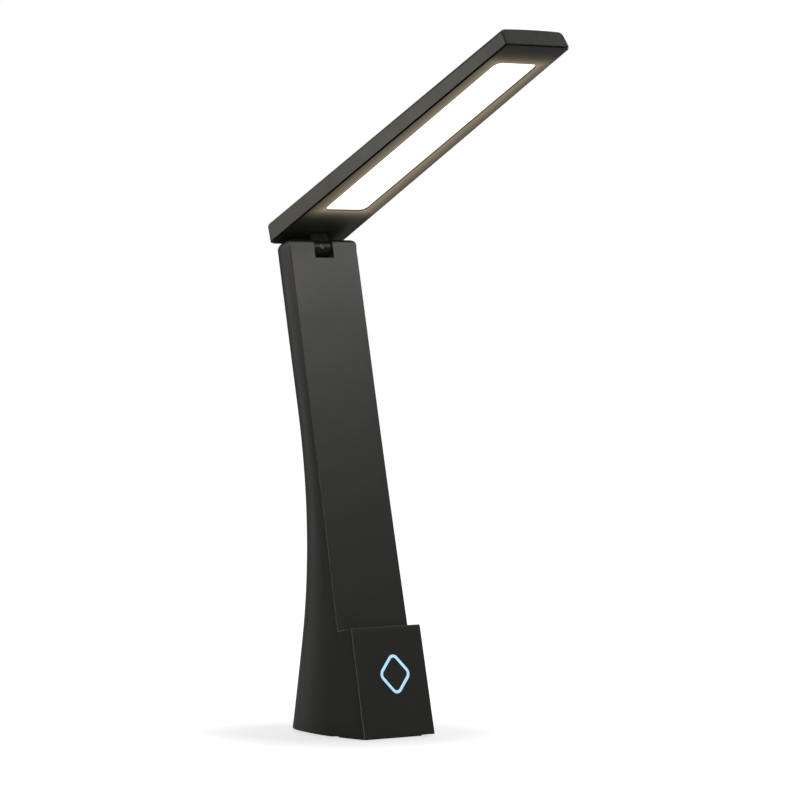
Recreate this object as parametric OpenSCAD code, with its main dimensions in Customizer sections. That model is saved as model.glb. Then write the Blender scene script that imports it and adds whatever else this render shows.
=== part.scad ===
// Folding LED desk lamp: a leaning tower with a stepped pedestal, and a flat light
// head on a friction hinge at its top that folds down flush over the tower's face.
// Millimetres, +Z up. The origin is on the desk, in the middle of the base. The face
// of the tower looks along -Y. The model stands in its open pose.

/* [Tower] */
// How far the tower and its pedestal lean back, in degrees
lean = 11.8; // [9:0.1:14]
// Depth of the base on the desk, front to back
base_depth = 88; // [82:1:100]
// Width of the tower's face at its top
top_width = 48.1; // [46:0.1:54]
// What the tower gains in width from the top down to the desk, at its straight sides
shaft_spread = 0.8; // [0:0.1:2]
// What the flared foot adds to the width at the desk
foot_spread = 5; // [2:0.5:7]
// Depth of the tower at its top, measured level
top_depth = 28.9; // [27:0.1:33]
// Slope of the back of the foot from the vertical, in degrees
foot_flare = 11.6; // [9:0.1:14]
// Half height of the bend between the foot and the straight back
waist_blend = 65; // [45:1:80]
// Distance of the widest line behind the tower's face, at the desk
widest_back = 18.3; // [12:0.1:22]
// Distance of the widest line behind the tower's face, up the shaft
shaft_widest = 1.2; // [0.6:0.1:1.8]
// How fast the sides draw in ahead of the widest line, per millimetre
front_draw = 0.0019; // [0:0.0001:0.003]
// Length of the tower's face from the ledge up to the top
face_length = 223.4; // [205:0.1:235]
// Radius of the rounded edge round the top
top_round = 2.5; // [1.5:0.1:2.8]
// Radius of the top corners, seen from the front
corner_round = 3.5; // [2.5:0.1:5]

/* [Pedestal] */
// Length of the pedestal's front, along its slope
pedestal_length = 62; // [58:0.5:70]
// Depth of the ledge, which the folded head fills
ledge_depth = 11.5; // [11.4:0.1:13]

/* [Casing] */
// Wall of the rear shell
shell_wall = 2; // [1.6:0.1:2.4]
// Thickness of the front cover
cover_wall = 2.2; // [1.8:0.1:2.4]
// Thickness of the base plate
base_plate_t = 2.2; // [1.8:0.1:3]
// Thickness of the rubber pad, which lifts the casing off the desk
pad_t = 1.2; // [0.8:0.1:2]
// Margin from the base plate's rim to the rubber pad
pad_margin = 3; // [2:0.5:6]
// Wall over the top of the tower
top_wall = 1.2; // [1:0.1:1.4]
// Gap between pieces of the casing that fit into each other
fit_gap = 0.2; // [0.1:0.05:0.3]
// Height of the shell's screw bosses
boss_h = 9; // [7:0.5:12]
// Diameter of the shell's screw bosses
boss_d = 7.4; // [7:0.1:8]
// Turn of the rear bosses from the widest line towards the back, in degrees
boss_turn = 50; // [40:1:55]

/* [Touch ring] */
// Width of the lit ring
ring_width = 20.4; // [16:0.1:23]
// Height of the lit ring
ring_height = 22; // [18:0.1:25]
// Width of the ring's line
ring_line = 1.5; // [1:0.1:2]
// Corner radius of the ring, on its outside
ring_round = 4.2; // [3:0.1:5]
// Height of the ring's middle along the pedestal's slope
ring_rise = 35; // [30:0.5:40]
// Distance of the ring to the right of the pedestal's middle
ring_shift = 2.2; // [-3:0.1:3]
// Gap between the ring, its middle and the cover
ring_gap = 0.05; // [0.03:0.01:0.1]
// Thickness of the light guide's plate behind the ring
guide_t = 1.4; // [1:0.1:2]
// Margin of the light guide's plate round the ring
guide_margin = 2; // [1:0.1:2.5]
// Room between the light guide and the control board
guide_room = 2.1; // [1.6:0.1:3]
// Diameter of the touch contact behind the light guide
contact_d = 10; // [7:0.5:11]

/* [Hinge] */
// Distance of the hinge axis behind the tower's face
axis_depth = 6.6; // [6.5:0.1:7]
// Distance of the hinge axis below the top of the tower
axis_below_top = 4; // [3.9:0.1:4.2]
// Angle of the head above the level when open
open_tilt = 26.8; // [20:0.1:30]
// Gap between the folded head and the tower's face
folded_gap = 0.5; // [0.4:0.1:0.8]
// Width of the slot in the tower's top
slot_width = 13.5; // [13:0.1:15]
// Depth of the slot below the hinge axis
slot_below = 6.9; // [6.4:0.1:8]
// Depth of the slot behind the hinge axis
slot_behind = 8; // [7.6:0.1:9]
// Radius of the knuckle
knuckle_r = 5.6; // [5:0.1:5.8]
// Gap beside the knuckle in its slot
knuckle_gap = 0.5; // [0.4:0.05:0.8]
// Step from the knuckle's barrel in to the sides of its neck
neck_step = 0.4; // [0.2:0.1:1]
// Diameter of the hinge pin
pin_d = 3; // [2.5:0.1:3.2]
// Running clearance of the pin in the bracket, on the radius
pin_clearance = 0.05; // [0.03:0.01:0.08]
// Sheet thickness of the hinge bracket
bracket_t = 1.5; // [1.2:0.1:2]
// Outer diameter of the friction washers, the pin's head and its nut
washer_d = 5; // [4.6:0.1:5.2]
// Thickness of each friction washer
washer_t = 0.6; // [0.4:0.1:1]
// Thickness of the pin's nut and of its head
nut_t = 2; // [1.5:0.1:2.5]
// Diameter of the lock screw's head on the knuckle
lock_screw_d = 2.8; // [2.4:0.1:3.2]

/* [Head] */
// Width of the head at its hinge end
head_width = 49.6; // [46:0.1:50.5]
// Width of the head at its tip
tip_width = 44.9; // [42:0.1:48]
// Thickness of the head at its hinge end
head_t = 12.2; // [11.4:0.1:13]
// Thickness of the head at its tip
tip_t = 11.1; // [10.5:0.1:11.4]
// Length of the head behind the hinge axis
head_behind = 10; // [9.4:0.1:10.3]
// Gap between the folded head's tip and the ledge
tip_gap = 0.6; // [0.5:0.1:3]
// Radius of the long top edges of the head
head_round = 2; // [1.6:0.1:3]
// Radius of the top edge at the ends of the head
end_round = 1; // [0.8:0.1:1.6]
// Radius of the head's corners at its hinge end, seen from above
heel_corner = 3.5; // [2.5:0.1:4.5]
// Radius of the head's lower edge at its hinge end
heel_round = 1.2; // [0.8:0.1:1.2]
// Height of the crown along the top of the head
head_crown = 0.4; // [0.2:0.1:1]
// What each long side leans in over the head's thickness
side_draft = 0.8; // [0.3:0.1:1.5]
// What each end leans in over the head's thickness
end_draft = 1.2; // [0.6:0.1:2]
// Wall of the head's shell
head_wall = 1.8; // [1.4:0.1:2]
// Thickness of the light frame
frame_t = 1.4; // [1.2:0.1:1.6]
// Step from the shell's side in to the light frame's edge
frame_step = 0.35; // [0.3:0.05:0.6]

/* [Light] */
// Width of the diffuser
light_width = 29.6; // [24:0.1:31]
// Length of the diffuser
light_length = 168; // [140:1:175]
// Distance of the diffuser from the tip of the head
light_margin = 18.8; // [14:0.1:24]
// Corner radius of the diffuser
light_round = 4.6; // [3:0.1:8]
// Depth of the diffuser behind the light frame's face
light_recess = 0.8; // [0.2:0.1:0.9]
// Width of the lip that holds the diffuser behind the frame
light_lip = 1.6; // [1:0.1:2]
// Thickness of the diffuser's lip
lip_t = 1; // [0.8:0.1:1.2]
// Height of the reflector tray between the diffuser and the chip board
tray_h = 3.4; // [3:0.1:3.6]
// Wall of the reflector tray
tray_wall = 1.2; // [0.8:0.1:1.6]
// Number of light chips in each of the two rows
chips_per_row = 14; // [8:1:16]
// Distance between the two rows of light chips
chip_row_gap = 14; // [10:1:18]
// Thickness of the chip board
led_board_t = 1.2; // [0.8:0.1:1.6]
// Thickness of the heat plate over the chip board
heat_plate_t = 1; // [0.6:0.1:1.4]

/* [Power] */
// Diameter of the battery cell
cell_d = 18.3; // [18:0.1:18.6]
// Length of the battery cell
cell_length = 65; // [60:1:68]
// Distance of the cell's middle behind the middle of the base
cell_back = 8; // [4:0.5:10]
// Wall of the cell's cradle
cradle_wall = 1.8; // [1.4:0.1:2.2]
// Height of the cradle's sleeve round the cell
cradle_h = 30; // [20:1:45]
// Thickness of the steel ballast
ballast_t = 6; // [4:0.5:7]
// Width of the charging socket
port_width = 9; // [8.9:0.1:9.2]
// Height of the charging socket
port_height = 3.2; // [3.1:0.1:3.4]
// Height of the charging socket's middle above the desk
port_rise = 16.5; // [16:0.5:20]
// Thickness of the circuit boards
board_t = 1.6; // [1:0.1:1.8]
// Diameter of the wire
wire_d = 2; // [1.6:0.1:2.2]

/* [Hidden] */
$fn = 48;

matt_black = [0.10, 0.10, 0.095];
satin_steel = [0.62, 0.63, 0.64];
board_green = [0.10, 0.32, 0.20];

// Tower: places along its slope
front_y = -base_depth / 2;
top_s = pedestal_length + face_length;
axis_s = top_s - axis_below_top;
axis_d = ledge_depth + axis_depth;
top_z = pad_t + top_s * cos(lean) - ledge_depth * sin(lean);
axis_point = slope_point(axis_s, axis_d);

// Head: places along its own axis, from the hinge towards the tip
light_drop = axis_depth + folded_gap;
tip_l = face_length - axis_below_top - tip_gap;
light_mid = tip_l - light_margin - light_length / 2;

// Screws: the M2.5 self-tapping screws of the casing and the M2 ones inside
case_screw_d = 2.5;
case_head_d = 4.8;
case_head_t = 1.4;
small_screw_d = 2;
small_head_d = 3.8;
small_head_t = 1.2;
overlap = 0.01;

// Clearances on the diameter: a screw in its pilot hole and in a hole that it
// passes through, a sunk screw head, and a piece pressed on the pin
pilot_play = 0.1;
hole_play = 0.4;
head_play = 0.4;
press_play = 0.04;

// A point given by its length s up the pedestal's slope and its depth d behind
// the pedestal's front: [y, z]
function slope_point(s, d) = [
    front_y + s * sin(lean) + d * cos(lean),
    pad_t + s * cos(lean) - d * sin(lean)
];

// Depth of the tower's face at height z
function face_y(z) = front_y + ledge_depth / cos(lean) + (z - pad_t) * tan(lean);

// Profile of the back: a line up the foot and a line up the shaft, blended by a
// parabola round the height where they would meet
shaft_base_y = face_y(0) + top_depth;
waist_z = (base_depth / 2 - shaft_base_y) / (tan(lean) + tan(foot_flare));
function back_y(z) =
    let (low = base_depth / 2 - z * tan(foot_flare), into = z - waist_z + waist_blend)
    z > waist_z + waist_blend ? shaft_base_y + z * tan(lean)
    : into < 0 ? low
    : low + (tan(lean) + tan(foot_flare)) * into * into / (4 * waist_blend);

// Share of the foot's flare at height z: 1 at the desk, 0 up the shaft
function flare(z) = (back_y(z) - face_y(z) - top_depth)
    / (back_y(0) - face_y(0) - top_depth);

// Distance of the widest line behind the face
function widest(z) = shaft_widest + (widest_back - shaft_widest) * flare(z);

// Half width of the tower at its widest line
function half_width(z) = top_width / 2 + shaft_spread / 2 * (1 - z / top_z)
    + foot_spread / 2 * flare(z);

// Slant of a cross-section: level at the desk, square to the face at the top
function slant(z) = lean * max(0, z - pad_t) / (top_z - pad_t);

// Depth of the slanted cross-section from the face to the back
function reach(z, d = 30, turns = 6) = turns == 0 ? d
    : reach(z, (back_y(z - d * sin(slant(z))) - face_y(z)) / cos(slant(z)), turns - 1);

// Outline of a cross-section, drawn in at the sides and at the back: [x, depth]
// from front left, round the back, to front right
back_steps = 24;
front_steps = 3;
function section(z, side_in, back_in) =
    let (
        mid = widest(z), w = half_width(z) - side_in,
        deep = reach(z) - mid - back_in,
        front = -ledge_depth / cos(lean - slant(z)),
        side = [for (i = [0 : front_steps - 1])
            let (d = front + (mid - front) * i / front_steps)
            [w - front_draw * pow(mid - d, 2), d]]
    )
    concat(
        [for (p = side) [-p[0], p[1]]],
        [for (i = [0 : back_steps])
            [-w * cos(180 * i / back_steps), mid + deep * sin(180 * i / back_steps)]],
        [for (i = [front_steps - 1 : -1 : 0]) side[i]]
    );
function ring_at(z, side_in, back_in) = [for (p = section(z, side_in, back_in))
    [p[0], face_y(z) + p[1] * cos(slant(z)), z - p[1] * sin(slant(z))]];

// What a rounded edge of radius r has drawn in at a height h into it
function round_in(r, h) = h <= 0 ? 0 : r - sqrt(max(0, r * r - h * h));

// Closed solid through a list of rings with equal numbers of points
module loft(rings) {
    n = len(rings[0]);
    last = (len(rings) - 1) * n;
    polyhedron(
        points = [for (r = rings) each r],
        faces = concat(
            [[for (i = [n - 1 : -1 : 0]) i]],
            [[for (i = [0 : n - 1]) last + i]],
            [for (k = [0 : len(rings) - 2], i = [0 : n - 1], half = [0, 1])
                let (a = k * n + i, b = k * n + (i + 1) % n)
                half == 0 ? [a, b, a + n] : [b, b + n, a + n]]
        )
    );
}

// The tower as closed solids: its outside, with the edge round its top, and the
// space inside its walls
ring_count = 14;
module tower_outside() {
    round_z = top_z - corner_round;
    loft(concat(
        [for (i = [0 : ring_count])
            ring_at(pad_t + (round_z - pad_t) * i / ring_count, 0, 0)],
        [for (q = [22.5 : 22.5 : 90])
            let (h = corner_round * sin(q))
            ring_at(round_z + h, round_in(corner_round, h),
                round_in(top_round, h - corner_round + top_round))]
    ));
}
module tower_inside() {
    end_z = top_z - top_wall / cos(lean);
    translate([0, 0, -overlap]) loft([for (i = [0 : ring_count])
        ring_at(pad_t + (end_z - pad_t) * i / ring_count, shell_wall, shell_wall)]);
}

// Level outline inside the casing at height z, with a gap to the shell and to the
// front cover
function level_outline(z, gap) =
    let (front = front_y + (z - pad_t) * tan(lean) + (cover_wall + gap) / cos(lean))
    [for (p = section(z, shell_wall + gap, shell_wall + gap))
        [p[0], max(front, face_y(z) + p[1])]];

// Frames: the pedestal's slope, and the head about its hinge
module on_slope() {
    translate([0, front_y, pad_t]) rotate([-lean, 0, 0]) children();
}
module at_hinge() {
    translate([0, axis_point[0], axis_point[1]]) children();
}
module on_head() {
    at_hinge() rotate([-open_tilt, 0, 0]) translate([0, 0, light_drop]) children();
}

// A flat shape in [depth, height] made into a solid across the lamp
module across(width, middle = 0) {
    translate([middle - width / 2, 0, 0]) rotate([90, 0, 90])
        linear_extrude(width) children();
}

// Round rod along X, centred
module rod(d, length) {
    rotate([0, 90, 0]) cylinder(d = d, h = length, center = true);
}

// Convex outline with every corner rounded to a radius r
function unit(v) = v / norm(v);
function rounded(p, r, steps = 6) = let (n = len(p)) [
    for (i = [0 : n - 1])
        let (
            a = unit(p[(i + n - 1) % n] - p[i]), b = unit(p[(i + 1) % n] - p[i]),
            half = acos(a * b) / 2,
            centre = p[i] + unit(a + b) * r / sin(half),
            from = centre - p[i] - a * (r / tan(half)),
            to = centre - p[i] - b * (r / tan(half))
        )
        for (k = [0 : steps])
            let (turn = 180 - 2 * half, t = k / steps)
            centre - (from * sin(turn * (1 - t)) + to * sin(turn * t)) / sin(turn)
];
function rectangle(w, h) = [[-w, -h] / 2, [w, -h] / 2, [w, h] / 2, [-w, h] / 2];
module plate(w, h, r, t) { linear_extrude(t) polygon(rounded(rectangle(w, h), r)); }

// Screw with a flat round head. The tip points down from the seat at z = 0
module screw(d, head_d, head_t, length) {
    cylinder(d = head_d, h = head_t);
    translate([0, 0, -length]) cylinder(d = d, h = length + overlap);
}

// Round post with a pilot hole for a screw, standing on z = 0
post_floor = 0.3;
module post(d, hole_d, height) {
    difference() {
        cylinder(d = d, h = height);
        translate([0, 0, post_floor]) cylinder(d = hole_d, h = height);
    }
}

// Rear shell: one flared moulding, round at the back and open to the front
// and below, with four bosses on its walls for the base screws
plate_top = pad_t + base_plate_t;
boss_top = plate_top + boss_h;
boss_in = shell_wall + boss_d / 2 - 0.5;
boss_x = half_width(boss_top) - boss_in;
boss_mid = widest(boss_top);
boss_back = reach(boss_top) - boss_mid - boss_in;
module at_bosses() {
    for (turn = [0, boss_turn], side = [-1, 1])
        translate([
            side * boss_x * cos(turn),
            face_y(boss_top) + boss_mid + boss_back * sin(turn), 0
        ]) children();
}
// The side view ahead of the tower's back, and the part of it behind the cover
module slope_outline() {
    polygon(concat(
        [[0, -base_depth], [0, pedestal_length], [ledge_depth, pedestal_length]],
        [for (q = [0 : 15 : 90])
            [ledge_depth + top_round * (1 - cos(q)), top_s - top_round * (1 - sin(q))]],
        [[2 * base_depth, top_s], [2 * base_depth, -base_depth]]
    ));
}
module behind_cover() {
    polygon([
        [ledge_depth + cover_wall, top_s + base_depth],
        [ledge_depth + cover_wall, pedestal_length - cover_wall],
        [cover_wall, pedestal_length - cover_wall],
        [cover_wall, -2 * base_depth],
        [3 * base_depth, -2 * base_depth],
        [3 * base_depth, top_s + base_depth]
    ]);
}
module hinge_slot() {
    on_slope() translate([-slot_width / 2, -base_depth, axis_s - slot_below])
        cube([slot_width, base_depth + axis_d + slot_behind, slot_below + base_depth]);
}
module port_shape(gap, length) {
    rotate([90, 0, 0]) plate(port_width + 2 * gap, port_height + 2 * gap,
        port_height / 2 + gap - overlap, length);
}
module rear_shell() {
    color(matt_black) difference() {
        union() {
            intersection() {
                difference() {
                    tower_outside();
                    tower_inside();
                }
                on_slope() across(2 * base_depth) behind_cover();
            }
            at_bosses() translate([0, 0, plate_top]) cylinder(d = boss_d, h = boss_h);
        }
        at_bosses() translate([0, 0, plate_top - overlap])
            cylinder(d = case_screw_d + pilot_play, h = boss_h - 1);
        hinge_slot();
        translate([0, base_depth / 2 + 5, port_rise]) port_shape(0.4, 20);
    }
}

// Front cover: the tower's flat face, the ledge and the pedestal's front in one
// moulding, with posts behind it for the hinge bracket and the control board
board_w = 32;
board_h = 42;
board_d = cover_wall + guide_t + guide_room;
board_post_d = 4.4;
board_posts = [for (x = [-1, 1], s = [-1, 1])
    [x * (board_w / 2 - 3), ring_rise + s * (board_h / 2 - 3)]];
bracket_low = 19;
bracket_flange = 8;
bracket_screw_bite = 1;
bracket_posts = [for (x = [-1, 1], s = [bracket_low - 3, bracket_low - 10])
    [x * (slot_width / 2 + bracket_flange - 3), axis_s - s]];
module at_slope_points(points, d) {
    on_slope() for (p = points) translate([p[0], d, p[1]]) rotate([-90, 0, 0]) children();
}
module ring_outline(grow) {
    r = ring_round + grow;
    w = ring_width / 2 + grow;
    h = ring_height / 2 + grow;
    // The corners of the sharp rhombus whose rounded form is w by h
    slope_x = norm([w, h]) / h;
    slope_y = norm([w, h]) / w;
    polygon(rounded([
        [0, h + r * (slope_y - 1)], [-w - r * (slope_x - 1), 0],
        [0, -h - r * (slope_y - 1)], [w + r * (slope_x - 1), 0]
    ], r));
}
module ring_block(grow, depth, length) {
    on_slope() translate([ring_shift, depth + length, ring_rise]) rotate([90, 0, 0])
        linear_extrude(length) ring_outline(grow);
}
module front_cover() {
    color(matt_black) difference() {
        union() {
            intersection() {
                on_slope() across(2 * base_depth) difference() {
                    slope_outline();
                    behind_cover();
                }
                tower_outside();
            }
            at_slope_points(board_posts, cover_wall - overlap)
                post(board_post_d, small_screw_d + pilot_play, board_d - cover_wall + overlap);
            at_slope_points(bracket_posts, ledge_depth + cover_wall - overlap)
                cylinder(d = small_screw_d + 2, h = bracket_t + overlap);
        }
        at_slope_points(bracket_posts, ledge_depth + cover_wall - bracket_screw_bite - 0.2)
            cylinder(d = small_screw_d + pilot_play, h = 2 * cover_wall);
        hinge_slot();
        ring_block(ring_gap, -1, cover_wall + 2);
    }
}

// Base plate: closes the casing below, with posts for the cradle's screws and for
// the charging board
cradle_post_x = 12.5;
cradle_post_ahead = 6;
cradle_posts = [for (side = [-1, 1]) [side * cradle_post_x, cell_back - cradle_post_ahead]];
charge_board_w = 16;
charge_board_l = 13;
port_length = 7.4;
port_recess = 0.8;
port_overhang = 4;
port_mouth_y = back_y(port_rise) - port_recess;
charge_mid_y = port_mouth_y - port_overhang - charge_board_l / 2;
charge_posts = [for (side = [-1, 1]) [side * (charge_board_w / 2 - 3), charge_mid_y]];
ballast_top = plate_top + ballast_t;
charge_board_z = port_rise - port_height / 2 - board_t;
post_d = 4.4;
module at_level_points(points, z) {
    for (p = points) translate([p[0], p[1], z]) children();
}
module base_plate() {
    color(matt_black) {
        difference() {
            translate([0, 0, pad_t]) linear_extrude(base_plate_t)
                polygon(level_outline(plate_top, fit_gap));
            at_bosses() cylinder(d = case_screw_d + hole_play, h = base_depth, center = true);
            at_bosses() translate([0, 0, pad_t - overlap])
                cylinder(d = case_head_d + head_play, h = case_head_t + 2 * overlap);
        }
        at_level_points(cradle_posts, plate_top - overlap)
            post(post_d, case_screw_d + pilot_play, ballast_t + overlap);
        at_level_points(charge_posts, plate_top - overlap)
            post(post_d, small_screw_d + pilot_play, charge_board_z - plate_top + overlap);
    }
}

// Rubber pad under the base plate, with openings at the screws
module base_pad() {
    color([0.07, 0.07, 0.07]) difference() {
        linear_extrude(pad_t) polygon(level_outline(pad_t, fit_gap + pad_margin));
        at_bosses() cylinder(d = case_head_d + 1, h = 3 * pad_t, center = true);
    }
}
module base_screws() {
    color(satin_steel) at_bosses() translate([0, 0, pad_t + case_head_t])
        rotate([180, 0, 0]) screw(case_screw_d, case_head_d, case_head_t, boss_h - 2);
}

// Steel ballast on the base plate
ballast_w = 2 * (boss_x - boss_d / 2 - 1);
ballast_l = 52;
ballast_mid_y = -8;
module ballast() {
    color(satin_steel) difference() {
        translate([0, ballast_mid_y, plate_top]) plate(ballast_w, ballast_l, 4, ballast_t);
        at_level_points(cradle_posts, 0) cylinder(d = post_d + hole_play, h = base_depth);
    }
}

// Battery cell standing in a cradle that is screwed down over the ballast
cradle_foot_t = 2;
module battery_cradle() {
    foot_w = 2 * cradle_post_x + 6.4;
    sleeve_d = cell_d + 2 * (fit_gap + cradle_wall);
    color([0.16, 0.16, 0.16]) translate([0, cell_back, ballast_top]) difference() {
        union() {
            translate([0, -cradle_post_ahead / 2, 0])
                plate(foot_w, 3 * cradle_post_ahead, 3, cradle_foot_t);
            cylinder(d = sleeve_d, h = cradle_h);
        }
        translate([0, 0, cradle_foot_t])
            cylinder(d = cell_d + 2 * fit_gap, h = cradle_h);
        translate([-cell_d / 3, 0, cradle_foot_t + 4])
            cube([2 * cell_d / 3, cell_d, cradle_h]);
        for (side = [-1, 1])
            translate([side * cradle_post_x, -cradle_post_ahead, -overlap])
                cylinder(d = case_screw_d + hole_play, h = 2 * cradle_foot_t);
    }
}
module battery_cell() {
    color([0.18, 0.36, 0.62]) translate([0, cell_back, ballast_top + cradle_foot_t]) {
        cylinder(d = cell_d, h = cell_length - 1);
        translate([0, 0, cell_length - 1 - overlap]) cylinder(d = 5.5, h = 1 + overlap);
    }
}
module cradle_screws() {
    color(satin_steel) at_level_points(cradle_posts, ballast_top + cradle_foot_t)
        screw(case_screw_d, case_head_d, case_head_t, cradle_foot_t + ballast_t - 1.5);
}

// Charging board and the socket at the back of the foot
module charge_board() {
    color(board_green) difference() {
        translate([0, charge_mid_y, charge_board_z])
            plate(charge_board_w, charge_board_l, 1, board_t);
        at_level_points(charge_posts, 0) cylinder(d = small_screw_d + hole_play, h = base_depth);
    }
}
module charge_socket() {
    tongue = [port_width - 2.4, 0.8];
    color(satin_steel) translate([0, port_mouth_y, port_rise]) difference() {
        port_shape(0, port_length);
        translate([0, overlap, 0]) difference() {
            port_shape(-0.3, port_length - 1);
            translate([-tongue[0] / 2, -port_length, -tongue[1] / 2])
                cube([tongue[0], port_length - 1, tongue[1]]);
        }
    }
}

// Control board behind the touch ring, the screws of both boards, the touch
// contact and the ring's lights
ring_light = [2.6, 1.4, 0.9];
module control_board() {
    color(board_green) difference() {
        on_slope() translate([0, board_d + board_t, ring_rise]) rotate([90, 0, 0])
            plate(board_w, board_h, 1.5, board_t);
        at_slope_points(board_posts, board_d - 1)
            cylinder(d = small_screw_d + hole_play, h = board_t + 2);
    }
}
module board_screws() {
    color(satin_steel) {
        at_slope_points(board_posts, board_d + board_t)
            screw(small_screw_d, small_head_d, small_head_t, board_t + 2.8);
        at_level_points(charge_posts, charge_board_z + board_t)
            screw(small_screw_d, small_head_d, small_head_t, board_t + 4);
    }
}
module touch_contact() {
    plate_t = 0.4;
    color([0.80, 0.62, 0.30])
        at_slope_points([[ring_shift, ring_rise]], cover_wall + guide_t) {
            cylinder(d = contact_d, h = plate_t);
            cylinder(d = contact_d / 3, h = guide_room);
        }
}
module ring_lights() {
    color([0.85, 0.90, 0.95]) on_slope() for (x = [-1, 1], s = [-1, 1])
        translate([
            ring_shift + x * ring_width / 4 - ring_light[0] / 2,
            board_d - ring_light[2],
            ring_rise + s * ring_height / 4 - ring_light[1] / 2
        ]) cube([ring_light[0], ring_light[2], ring_light[1]]);
}

// Touch ring: a clear light guide with a raised rounded rhombus that shows through
// the pedestal's front, and the black cap in its middle
module touch_ring() {
    color([0.55, 0.80, 1.0]) {
        difference() {
            ring_block(0, 0, cover_wall + overlap);
            ring_block(-ring_line, -1, cover_wall + 1);
        }
        ring_block(guide_margin, cover_wall, guide_t);
    }
}
module touch_cap() {
    color(matt_black) ring_block(-ring_line - ring_gap, 0, cover_wall);
}

// Hinge bracket: folded steel, two cheeks beside the slot, flanges on the cover's
// posts and a web that joins them below the knuckle
cheek_top = axis_below_top - top_wall - 0.2;
cheek_depth = axis_depth - cover_wall + pin_d / 2 + 1.8;
module hinge_bracket() {
    from_s = axis_s - bracket_low;
    from_d = ledge_depth + cover_wall;
    color(satin_steel) difference() {
        on_slope() {
            for (side = [-1, 1]) {
                translate([side * (slot_width + bracket_t) / 2 - bracket_t / 2, from_d, from_s])
                    cube([bracket_t, cheek_depth, bracket_low + cheek_top]);
                translate([side * (slot_width + bracket_flange) / 2 - bracket_flange / 2,
                    from_d, from_s])
                    cube([bracket_flange, bracket_t, bracket_low - washer_d / 2 - 1]);
            }
            translate([-slot_width / 2 - overlap, from_d, from_s])
                cube([slot_width + 2 * overlap, bracket_t, bracket_low - slot_below - 2]);
        }
        at_hinge() rod(pin_d + 2 * pin_clearance, 2 * slot_width);
        at_slope_points(bracket_posts, ledge_depth)
            cylinder(d = small_screw_d + 2.3, h = 4 * cover_wall);
    }
}
module bracket_screws() {
    color(satin_steel)
        at_slope_points(bracket_posts, ledge_depth + cover_wall + bracket_t)
            screw(small_screw_d, small_head_d + 1.4, small_head_t,
                bracket_t + bracket_screw_bite);
}

// Round tube swept along a list of points
tube_sides = 8;
function tube_ring(p, way, d) =
    let (u = unit(cross(way, [0.2, 1, 0.1])), v = unit(cross(way, u)))
    [for (i = [0 : tube_sides - 1])
        p + d / 2 * (u * cos(360 * i / tube_sides) - v * sin(360 * i / tube_sides))];
module wire(points, d) {
    last = len(points) - 1;
    loft([for (i = [0 : last]) tube_ring(points[i],
        unit(points[min(i + 1, last)] - points[max(i - 1, 0)]), d)]);
}

// Wire up the tower, from the control board to just under the knuckle
wire_behind = 5;
module tower_wire() {
    deep = ledge_depth + cover_wall + wire_behind;
    side = board_w / 3;
    on_board = board_d + board_t + wire_d / 2;
    under = axis_s - slot_below - wire_d;
    board_top = ring_rise + board_h / 2;
    color([0.75, 0.10, 0.08]) on_slope() wire([
        [side, on_board, board_top - 4 * wire_d],
        [side, on_board + wire_d / 2, board_top - 2 * wire_d],
        [side, deep - wire_d, board_top + wire_d],
        [side, deep, pedestal_length + 2 * wire_d],
        [side, deep, under - 2 * board_h],
        [side, deep, under - board_h],
        [side / 2, deep + wire_d / 2, under - board_h / 2],
        [wire_d / 2, deep + wire_d, under - 3 * wire_d],
        [0, deep + 1.5 * wire_d, under]
    ], wire_d);
}

// Hinge pin: fixed in the knuckle, it turns in the bracket's cheeks against the
// friction washers
cheek_out = slot_width / 2 + bracket_t;
washer_gap = 0.05;
module hinge_pin() {
    reach_x = cheek_out + washer_gap + washer_t;
    color(satin_steel) at_hinge() {
        rod(pin_d, 2 * (reach_x + nut_t));
        translate([-reach_x - nut_t / 2, 0, 0]) rod(washer_d, nut_t);
    }
}
module friction_washers() {
    color(satin_steel) at_hinge() for (side = [-1, 1])
        translate([side * (cheek_out + washer_gap + washer_t / 2), 0, 0]) difference() {
            rod(washer_d, washer_t);
            rod(pin_d + press_play, 2 * washer_t);
        }
}
module pin_nut() {
    color(satin_steel) at_hinge()
        translate([cheek_out + washer_gap + washer_t + nut_t / 2, 0, 0]) difference() {
            rotate([0, 90, 0]) cylinder(d = washer_d, h = nut_t, center = true, $fn = 6);
            rod(pin_d + press_play, 2 * nut_t);
        }
}

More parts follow.
